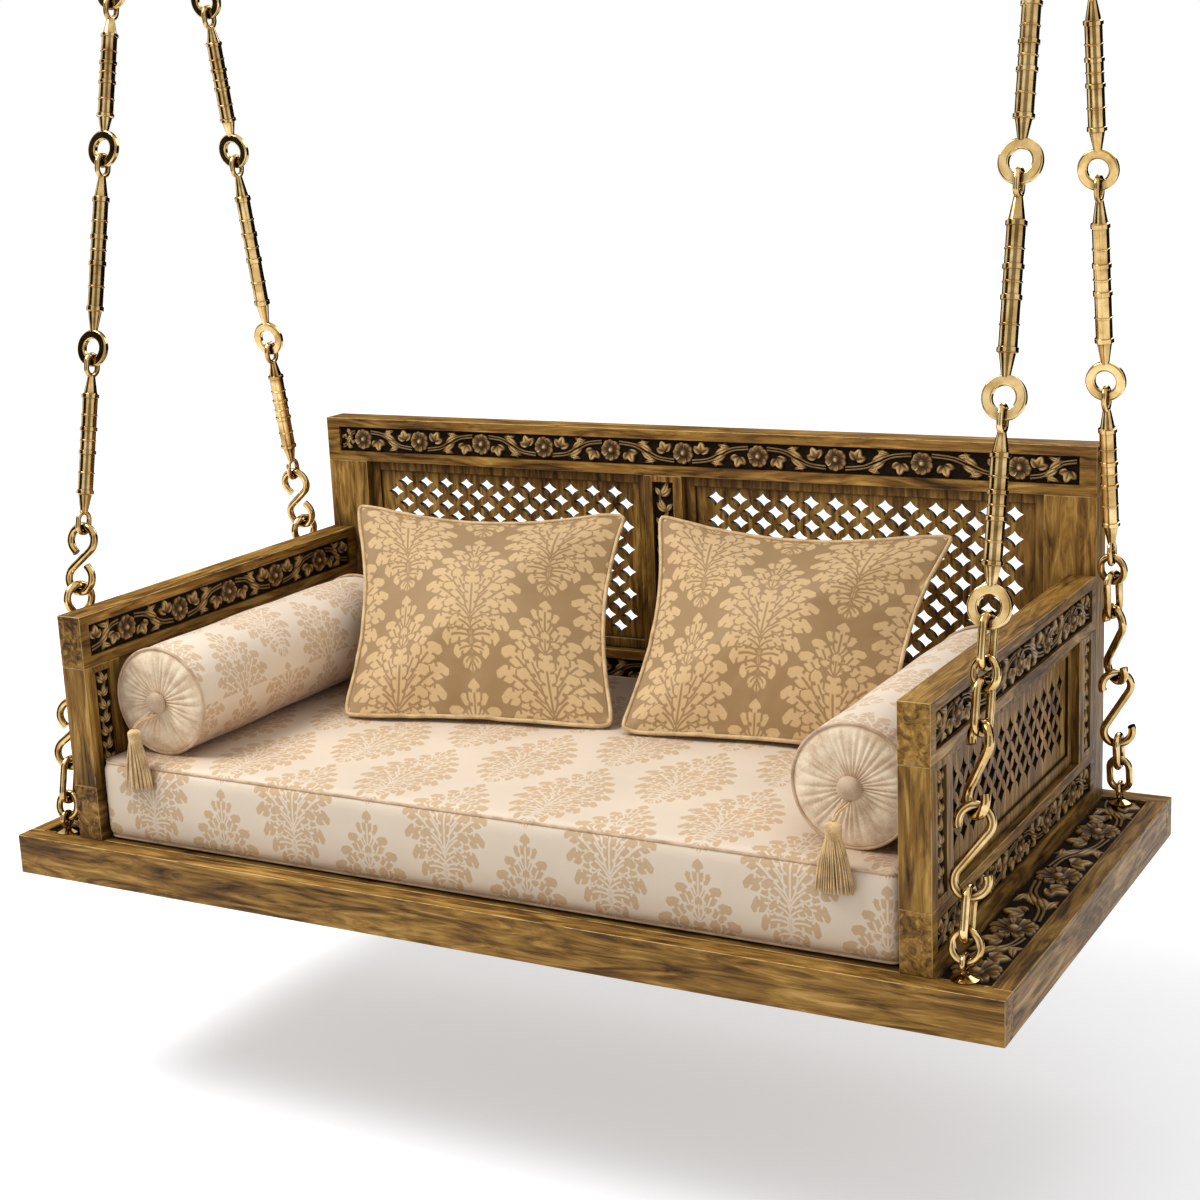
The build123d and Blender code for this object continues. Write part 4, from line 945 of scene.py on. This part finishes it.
def make_bolster(name, cover, end_cover, piping):
    """Round bolster with gathered ends and piped rims; returns its axis and its front."""
    low, high = seat_box("bolster_" + name)
    radius = (high.z - low.z) / 2
    axis_x, axis_z = (low.x + high.x) / 2, (low.z + high.z) / 2
    rng = random.Random(SEEDS["bolster_" + name])
    angles = np.linspace(0, 2 * math.pi, BOLSTER_TURNS + 1)
    fold_places = np.cumsum([rng.uniform(0.6, 1.4) for _ in range(BOLSTER_FOLDS)])
    phase = np.interp(angles, np.append(0, fold_places) / fold_places[-1] * 2 * math.pi,
                      np.arange(BOLSTER_FOLDS + 1) * 2 * math.pi)
    folds = np.abs(np.sin(phase / 2)) ** 0.7
    depths = [rng.uniform(0.6, 1.2) for _ in range(12)] + [0.9]
    depth = np.interp(angles, np.linspace(0, 2 * math.pi, 13), depths)

    def ring(r, y):
        return np.stack([axis_x + r * np.cos(angles), y + 0 * angles, axis_z + r * np.sin(angles)], axis=-1)

    shape = Shape()
    for end, sign in ((low.y, 1), (high.y, -1)):
        rows = []
        for share in np.linspace(0.06, 1.0, 26):
            sink = 0.006 * (1 - share) ** 2 + 0.010 * share ** 6
            gather = BOLSTER_GATHER * depth * (1 - folds) * min(1.0, 3.2 * share) * (1 - share ** 5)
            rows.append(ring(share * (radius - BOLSTER_RIM_INSET), end + sign * (sink + gather + 0.0006)))
        shape.grid(rows, uv=np.array(rows)[..., [0, 2]], paint=1)
    rows, uvs = [], []
    stations = (np.linspace(low.y + BOLSTER_COVER_END, low.y + 0.02, 5),
                np.linspace(low.y + 0.03, high.y - 0.03, 60),
                np.linspace(high.y - 0.02, high.y - BOLSTER_COVER_END, 5))
    for y in np.concatenate(stations):
        near_end = min(y - low.y, high.y - y)
        r = radius - BOLSTER_RIM_INSET * math.exp(-(near_end - BOLSTER_COVER_END) / 0.012)
        soft = 0.0012 * np.sin(3 * angles + 9 * y) * np.sin(7 * y * math.pi)
        soft -= 0.0006 * (1 + np.cos(phase)) * math.exp(-near_end / 0.03)
        rows.append(ring(r + soft - 0.0012, y))
        uvs.append(np.stack([y + 0 * angles, angles * radius], axis=-1))
    shape.grid(rows, uv=uvs)
    bolster = shape.build("bolster_cover_" + name, [cover, end_cover], "cream_damask", merge=0.0004)
    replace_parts(bolster, "bolster_" + name)

    welt = Shape()
    bend = radius - BOLSTER_PIPING_INSET
    for y in (low.y + BOLSTER_PIPING_END, high.y - BOLSTER_PIPING_END):
        path = [(axis_x + bend * math.cos(a), y, axis_z + bend * math.sin(a))
                for a in np.linspace(0, 2 * math.pi, 96, endpoint=False)]
        welt.grid(tube_rows(path, BOLSTER_PIPING_RADIUS, 8, True), wrap=True)
    welt.build("bolster_welt_" + name, [piping], "cream_damask")
    return axis_x, axis_z, low.y


def make_button(shape, x, y, z):
    """Covered button: a flat dome with a rolled rim."""
    turns = np.linspace(0, 2 * math.pi, 40, endpoint=False)
    shape.grid([[(x + r * math.cos(a), y - out, z + r * math.sin(a)) for a in turns]
                for r, out in BUTTON_PROFILE], wrap=True)


def make_tassel(shape, x, axis_z, rng):
    """Cord loop, wrapped head and a skirt of threads that hangs in front of the mattress."""
    low, high = seat_box("tassels")
    hang_y = low.y + TASSEL_MIDDLE_DEPTH
    head_top = axis_z - TASSEL_HEAD_DROP
    neck = axis_z - TASSEL_NECK_DROP
    first, second, third = [axis_z - drop for drop in TASSEL_CORD_DROPS]
    for offset in (-TASSEL_CORD_SPREAD, TASSEL_CORD_SPREAD):
        path = smooth_path([(x + offset, high.y - 0.002, first), (x + offset * 1.4, high.y - 0.020, second),
                            (x + offset, hang_y + 0.012, third), (x + offset * 0.4, hang_y, head_top)], 6)
        shape.grid(tube_rows(path, TASSEL_CORD_RADIUS, 7), wrap=True)
    turns = np.linspace(0, 2 * math.pi, 28, endpoint=False)
    rows = []
    for step in range(TASSEL_HEAD_STEPS + 1):
        share = step / TASSEL_HEAD_STEPS
        z = head_top - share * (head_top - neck)
        outline = TASSEL_HEAD_RADIUS * math.sin(math.pi * min(1.0, 0.14 + share * 3.0) / 2)
        ripple = 0.0005 * math.sin(step * math.pi / 1.5) if share > 0.35 else 0.0
        r = outline * (1 - 0.10 * share) + ripple
        rows.append([(x + r * math.cos(a), hang_y + 0.75 * r * math.sin(a), z) for a in turns])
    shape.grid(rows, wrap=True)
    top_z = neck + 0.003
    for number in range(THREAD_COUNT):
        angle = 2 * math.pi * number / THREAD_COUNT * 3 + rng.uniform(-0.1, 0.1)
        ring = THREAD_RINGS[number % len(THREAD_RINGS)]
        foot_x = x + ring * TASSEL_HEM[0] * math.cos(angle) + rng.uniform(-0.0012, 0.0012)
        foot_y = hang_y + ring * TASSEL_HEM[1] * math.sin(angle)
        foot_z = low.z + rng.uniform(0.0, 0.004)
        bow = rng.uniform(-0.0008, 0.0008)
        top_x = x + ring * TASSEL_NECK[0] * math.cos(angle)
        top_y = hang_y + ring * TASSEL_NECK[1] * math.sin(angle)
        middle = (top_x * 0.36 + foot_x * 0.64 + bow, top_y * 0.45 + foot_y * 0.55, (top_z + foot_z) / 2)
        path = smooth_path([(top_x, top_y, top_z), middle, (foot_x, foot_y, foot_z)], 4)
        shape.grid(tube_rows(path, THREAD_RADIUS, 5), wrap=True)


# ---------------------------------------------------------------- cushions


def pillow_grid(count):
    """Flat two-sided cushion, one unit from middle to edge: points, faces, cloth coordinates and index."""
    line = np.linspace(-1, 1, count)
    rim = (0, count - 1)
    places, faces, cloth = [], [], []
    index = {}

    def key(i, j, side):
        """The two sides share the points of the rim."""
        return (i, j) if i in rim or j in rim else (i, j, side)

    for side in (1, -1):
        for i, a in enumerate(line):
            for j, b in enumerate(line):
                if key(i, j, side) not in index:
                    index[key(i, j, side)] = len(places)
                    places.append((a, b, side * 0.10 * (1 - a ** 4) * (1 - b ** 4)))
        for i in range(count - 1):
            for j in range(count - 1):
                ring = [(i, j), (i + 1, j), (i + 1, j + 1), (i, j + 1)]
                if side < 0:
                    ring.reverse()
                faces.append([index[key(*k, side)] for k in ring])
                cloth += [(line[k[0]], line[k[1]]) for k in ring]
    return np.array(places), faces, np.array(cloth), index


def inflate(points, faces, seed):
    """Blows the flat cushion up with cloth simulation and returns how high each point comes."""
    rng = np.random.default_rng(seed)
    half = CUSHION_FLAT / 2
    start = points * (half, half, half * 0.35) + rng.normal(0, 0.0006, points.shape)
    mesh = bpy.data.meshes.new("inflating")
    mesh.from_pydata(start.tolist(), [], faces)
    piece = bpy.data.objects.new("inflating", mesh)
    scene = bpy.context.scene
    scene.collection.objects.link(piece)
    cloth = piece.modifiers.new("Cloth", "CLOTH")
    for setting, value in INFLATING_SETTINGS.items():
        setattr(cloth.settings, setting, value)
    cloth.settings.effector_weights.gravity = 0.0
    cloth.collision_settings.use_collision = False
    for number in range(1, INFLATING_FRAMES + 1):
        scene.frame_set(number)
    blown = piece.evaluated_get(bpy.context.evaluated_depsgraph_get())
    heights = np.array([vertex.co.z for vertex in blown.to_mesh().vertices])
    blown.to_mesh_clear()
    bpy.data.objects.remove(piece)
    scene.frame_set(1)
    return heights


def puckers(points, seed):
    """Small folds that run in from the sewn edges and fade towards the middle."""
    rng = np.random.default_rng(seed)
    folds = np.zeros(len(points))
    for first, second in ((0, 1), (1, 0)):
        inward = 1 - np.abs(points[:, first])
        side = np.sign(points[:, first])
        for _ in range(PUCKERS_PER_EDGE_PAIR):
            place, width, reach = rng.uniform(-0.95, 0.95), rng.uniform(0.05, 0.11), rng.uniform(0.10, 0.26)
            lean, edge, depth = rng.uniform(-0.5, 0.5), rng.choice((-1, 1)), rng.uniform(0.5, 1.4)
            off = (points[:, second] - place - lean * inward) / width
            fade = np.exp(-inward / reach) * np.minimum(1, inward / 0.05)
            folds -= (side == edge) * depth * np.exp(-off ** 2) * fade
    return PUCKER * folds


def make_cushion(name, cover, piping):
    """Scatter cushion between its four corners, with a piped edge."""
    foot = seat_box("mattress")[1].z + CUSHION_LIFT
    lower_left, lower_right, upper_right, upper_left = [
        np.array((x, y, foot + z)) for x, y, z in CUSHION_CORNERS[name]]
    seed = SEEDS["cushion_" + name]
    points, faces, cloth, index = pillow_grid(PILLOW_POINTS)
    heights = inflate(points, faces, seed)
    across, along = points[:, :1], points[:, 1:2]
    dip = np.where(along > 0, PULL_TOP, PULL_BOTTOM)
    pulled = np.hstack([across * (1 - PULL_SIDES * (1 - along ** 2)), along * (1 - dip * (1 - across ** 2))])
    pulled *= 1 - PULL_CORNERS * np.abs(across * along) ** 10
    thick = heights / np.abs(heights).max() * CUSHION_HALF_THICKNESS
    thick += np.sign(thick) * puckers(points, seed)
    a, b = (pulled[:, :1] + 1) / 2, (pulled[:, 1:] + 1) / 2
    place = ((1 - a) * (1 - b) * lower_left + a * (1 - b) * lower_right
             + a * b * upper_right + (1 - a) * b * upper_left)
    normal = np.cross(lower_right - lower_left + upper_right - upper_left,
                      upper_left - lower_left + upper_right - lower_right)
    normal = normal / np.linalg.norm(normal)
    place = settle(place + thick[:, None] * normal)
    shape = Shape()
    shape.whole(place, faces, cloth * CUSHION_FLAT / 2)
    piece = shape.build("cushion_cover_" + name, [cover], "gold_damask")
    piece.modifiers.new("Subdivision", "SUBSURF").render_levels = 1
    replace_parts(piece, "cushion_" + name)

    last = PILLOW_POINTS - 1
    rim = [(i, 0) for i in range(last + 1)] + [(last, j) for j in range(1, last + 1)]
    rim += [(i, last) for i in range(last - 1, -1, -1)] + [(0, j) for j in range(last - 1, 0, -1)]
    path = place[[index[k] for k in rim]]
    path = (np.roll(path, 1, 0) + path * 2 + np.roll(path, -1, 0)) / 4
    welt = Shape()
    welt.grid(tube_rows(path, CUSHION_PIPING_RADIUS, 8, True), wrap=True)
    welt.build("cushion_welt_" + name, [piping], "gold_damask")


def settle(place):
    """Keeps a cushion's points out of the mattress, the back and the bolsters it leans on."""
    high = seat_box("mattress")[1]
    place[:, 2] = np.maximum(place[:, 2], high.z + CUSHION_CLEARANCE)
    place[:, 1] = np.minimum(place[:, 1], high.y - CUSHION_CLEARANCE)
    for name in SIDES:
        low, high = seat_box("bolster_" + name)
        radius = (high.z - low.z) / 2 + 0.003
        middle = np.array([(low.x + high.x) / 2, (low.z + high.z) / 2])
        away = place[:, [0, 2]] - middle
        distance = np.linalg.norm(away, axis=1)
        inside = (distance < radius) & (place[:, 1] > low.y) & (place[:, 1] < high.y)
        for axis, part in ((0, 0), (2, 1)):
            place[inside, axis] = middle[part] + away[inside, part] / distance[inside] * radius
    return place


# ---------------------------------------------------------------- the finish of the CAD nodes


def grain_axes():
    """Axis that the grain of each plain wooden node follows."""
    grain = {"deck_front_rail": 0, "deck_rear_rail": 0, "deck_boards": 0, "deck_battens": 1,
             "back_top_rail": 0, "back_bottom_rail": 0, "back_mullion": 2}
    for side in SIDES:
        for node in ("deck_end_rail_", "deck_end_board_", "arm_top_rail_", "arm_bottom_rail_"):
            grain[node + side] = 1
        for node in ("arm_front_post_", "arm_rear_post_", "back_post_"):
            grain[node + side] = 2
    return grain


def dress_nodes(materials):
    """Gives every CAD node its material: brass, unless it is wood or steel."""
    grain = grain_axes()
    for name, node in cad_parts.items():
        if name in grain:
            material = materials["wood"][grain[name]]
        elif name.startswith("back_jali"):
            material = materials["lattice_back"]
        elif name.startswith("arm_jali"):
            material = materials["lattice_arm"]
        elif name in ("ceiling_plates", "frame_bolts", "arm_screws", "eye_nuts"):
            material = materials["steel"]
        else:
            material = materials["brass"]
        node.data.materials.clear()
        node.data.materials.append(material)


# ---------------------------------------------------------------- stage


def make_camera():
    """Camera at the photograph's viewing angle."""
    azimuth, elevation, roll = [math.radians(a) for a in (CAMERA_AZIMUTH, CAMERA_ELEVATION, CAMERA_ROLL)]
    back = Vector((math.sin(azimuth) * math.cos(elevation), -math.cos(azimuth) * math.cos(elevation),
                   math.sin(elevation)))
    level = (-back).cross(Vector(UP)).normalized()
    above = level.cross(-back)
    right = math.cos(roll) * level + math.sin(roll) * above
    up = math.cos(roll) * above - math.sin(roll) * level
    data = bpy.data.cameras.new("camera")
    data.lens = CAMERA_LENS
    data.sensor_width = 36.0
    data.clip_end = 200.0
    camera = bpy.data.objects.new("camera", data)
    bpy.context.scene.collection.objects.link(camera)
    camera.matrix_world = Matrix((right, up, back)).transposed().to_4x4()
    camera.location = deck_middle + Vector(CAMERA_PLACE)
    bpy.context.scene.camera = camera


def make_stage_piece(name, points, faces, materials):
    """Object of flat faces that only dresses the picture."""
    mesh = bpy.data.meshes.new(name)
    mesh.from_pydata([tuple(point) for point in points], [], faces)
    for material in materials:
        mesh.materials.append(material)
    piece = bpy.data.objects.new(name, mesh)
    bpy.context.scene.collection.objects.link(piece)
    return piece


def make_floor():
    """Pale floor that shows white to the camera and in gloss, and keeps the object's shadow."""
    material, graph = new_material("floor")
    away = graph.add("ShaderNodeVectorMath", {0: graph.place(), 1: FLOOR_MIDDLE}, operation="DISTANCE")
    glow = graph.add("ShaderNodeMapRange", {
        "Value": away.outputs["Value"], "From Min": FLOOR_GLOW_REACH[0], "From Max": FLOOR_GLOW_REACH[1],
        "To Min": FLOOR_GLOW[0], "To Max": FLOOR_GLOW[1],
    }).outputs[0]
    graph.shade({
        "Base Color": (0.79, 0.80, 0.82, 1), "Roughness": 1.0, "Specular IOR Level": 0.0,
        "Emission Color": (1, 1, 1, 1), "Emission Strength": graph.math("MULTIPLY", graph.seen(), glow),
    })
    size, z = FLOOR_HALF_WIDTH, FLOOR_MIDDLE[2]
    make_stage_piece("floor", [(-size, -size, z), (size, -size, z), (size, size, z), (-size, size, z)],
                     [(0, 1, 2, 3)], [material])


def make_cards():
    """Dark and grey cards round the object that only reflections show."""
    points, faces, materials = [], [], []
    for number, (middle, width, glow) in enumerate(CARDS):
        material, graph = new_material("card_%d" % number)
        graph.shade({"Base Color": (0, 0, 0, 1), "Specular IOR Level": 0.0,
                     "Emission Color": (1, 1, 1, 1), "Emission Strength": glow})
        materials.append(material)
        for angle in (middle - width / 2, middle + width / 2):
            x = CARD_DISTANCE * math.sin(math.radians(angle))
            y = -CARD_DISTANCE * math.cos(math.radians(angle))
            points += [deck_middle + Vector((x, y, height)) for height in CARD_HEIGHTS]
        faces.append([4 * number, 4 * number + 2, 4 * number + 3, 4 * number + 1])
    cards = make_stage_piece("cards", points, faces, materials)
    cards.data.polygons.foreach_set("material_index", range(len(CARDS)))
    for kind in ("camera", "diffuse", "transmission", "volume_scatter", "shadow"):
        setattr(cards, "visible_" + kind, False)


def make_lights():
    """White world that lights less than it shows, and three soft lamps."""
    world = bpy.data.worlds.new("world")
    bpy.context.scene.world = world
    world.use_nodes = True
    graph = Graph(world.node_tree)
    strength = graph.math("MULTIPLY_ADD", graph.seen(), 1.0 - WORLD_LIGHT, WORLD_LIGHT)
    graph.feed(world.node_tree.nodes["Background"], {"Color": (1, 1, 1, 1), "Strength": strength})
    target = deck_middle + Vector(LAMP_TARGET)
    for name, place, size, power in LAMPS:
        light = bpy.data.lights.new(name, "AREA")
        light.size = size
        light.energy = power
        lamp = bpy.data.objects.new(name, light)
        lamp.visible_glossy = name != "fill"
        lamp.location = deck_middle + Vector(place)
        lamp.rotation_euler = (target - lamp.location).to_track_quat("-Z", "Y").to_euler()
        bpy.context.scene.collection.objects.link(lamp)


# ---------------------------------------------------------------- build

bpy.context.scene.view_settings.view_transform = "Standard"
make_camera()
make_floor()
make_cards()
make_lights()

leaf_nodes = leaf_group()
cream = damask("cream_damask", (0.780, 0.645, 0.495), (0.610, 0.415, 0.235), (0.150, 0.145), (-0.175, -0.570),
               0.150, leaf_nodes)
bolster_cream = damask("bolster_damask", (0.870, 0.725, 0.565), (0.650, 0.450, 0.265), (0.125, 0.120),
                       (0.0, 0.02), 0.130, leaf_nodes, 0.85)
gold = damask("gold_damask", (0.345, 0.203, 0.074), (0.655, 0.438, 0.212), (0.150, 0.184), (0.0, 0.0),
              0.190, leaf_nodes)
cream_cord = plain_cloth("cream_cord", (0.66, 0.46, 0.29), (0.42, 0.26, 0.14))
gold_cord = plain_cloth("gold_cord", (0.72, 0.50, 0.25), (0.45, 0.29, 0.12))
bolster_end = plain_cloth("bolster_end", (0.91, 0.73, 0.52), (0.62, 0.43, 0.26))
button_cloth = plain_cloth("button_cloth", (0.62, 0.45, 0.30), (0.46, 0.32, 0.20))
thread = plain_cloth("tassel_thread", (0.86, 0.58, 0.27), (0.46, 0.28, 0.11))
carved = (carved_wood("carved_wood"), carving_ground("carving_ground"))

make_back_carvings(carved)
for side_name in SIDES:
    make_arm_carvings(side_name, carved)
    make_deck_carvings(side_name, carved)

dress_nodes({
    "wood": [wood("wood_along_" + axis, number) for number, axis in enumerate("xyz")],
    "lattice_back": lattice_wood("lattice_back", 1),
    "lattice_arm": lattice_wood("lattice_arm", 0),
    "brass": brass("antique_brass"),
    "steel": steel("steel"),
})

make_mattress(cream, cream_cord)
buttons, tassels = Shape(), Shape()
thread_rng = random.Random(SEEDS["threads"])
for side_name in SIDES:
    roll_x, roll_z, roll_front = make_bolster(side_name, bolster_cream, bolster_end, cream_cord)
    make_button(buttons, roll_x, roll_front - SOFT_GAP, roll_z)
    make_tassel(tassels, roll_x, roll_z, thread_rng)
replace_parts(buttons.build("covered_buttons", [button_cloth], "cream_damask"), "bolster_buttons")
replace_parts(tassels.build("thread_tassels", [thread], "tassel_thread"), "tassels")
for side_name in SIDES:
    make_cushion(side_name, gold, gold_cord)
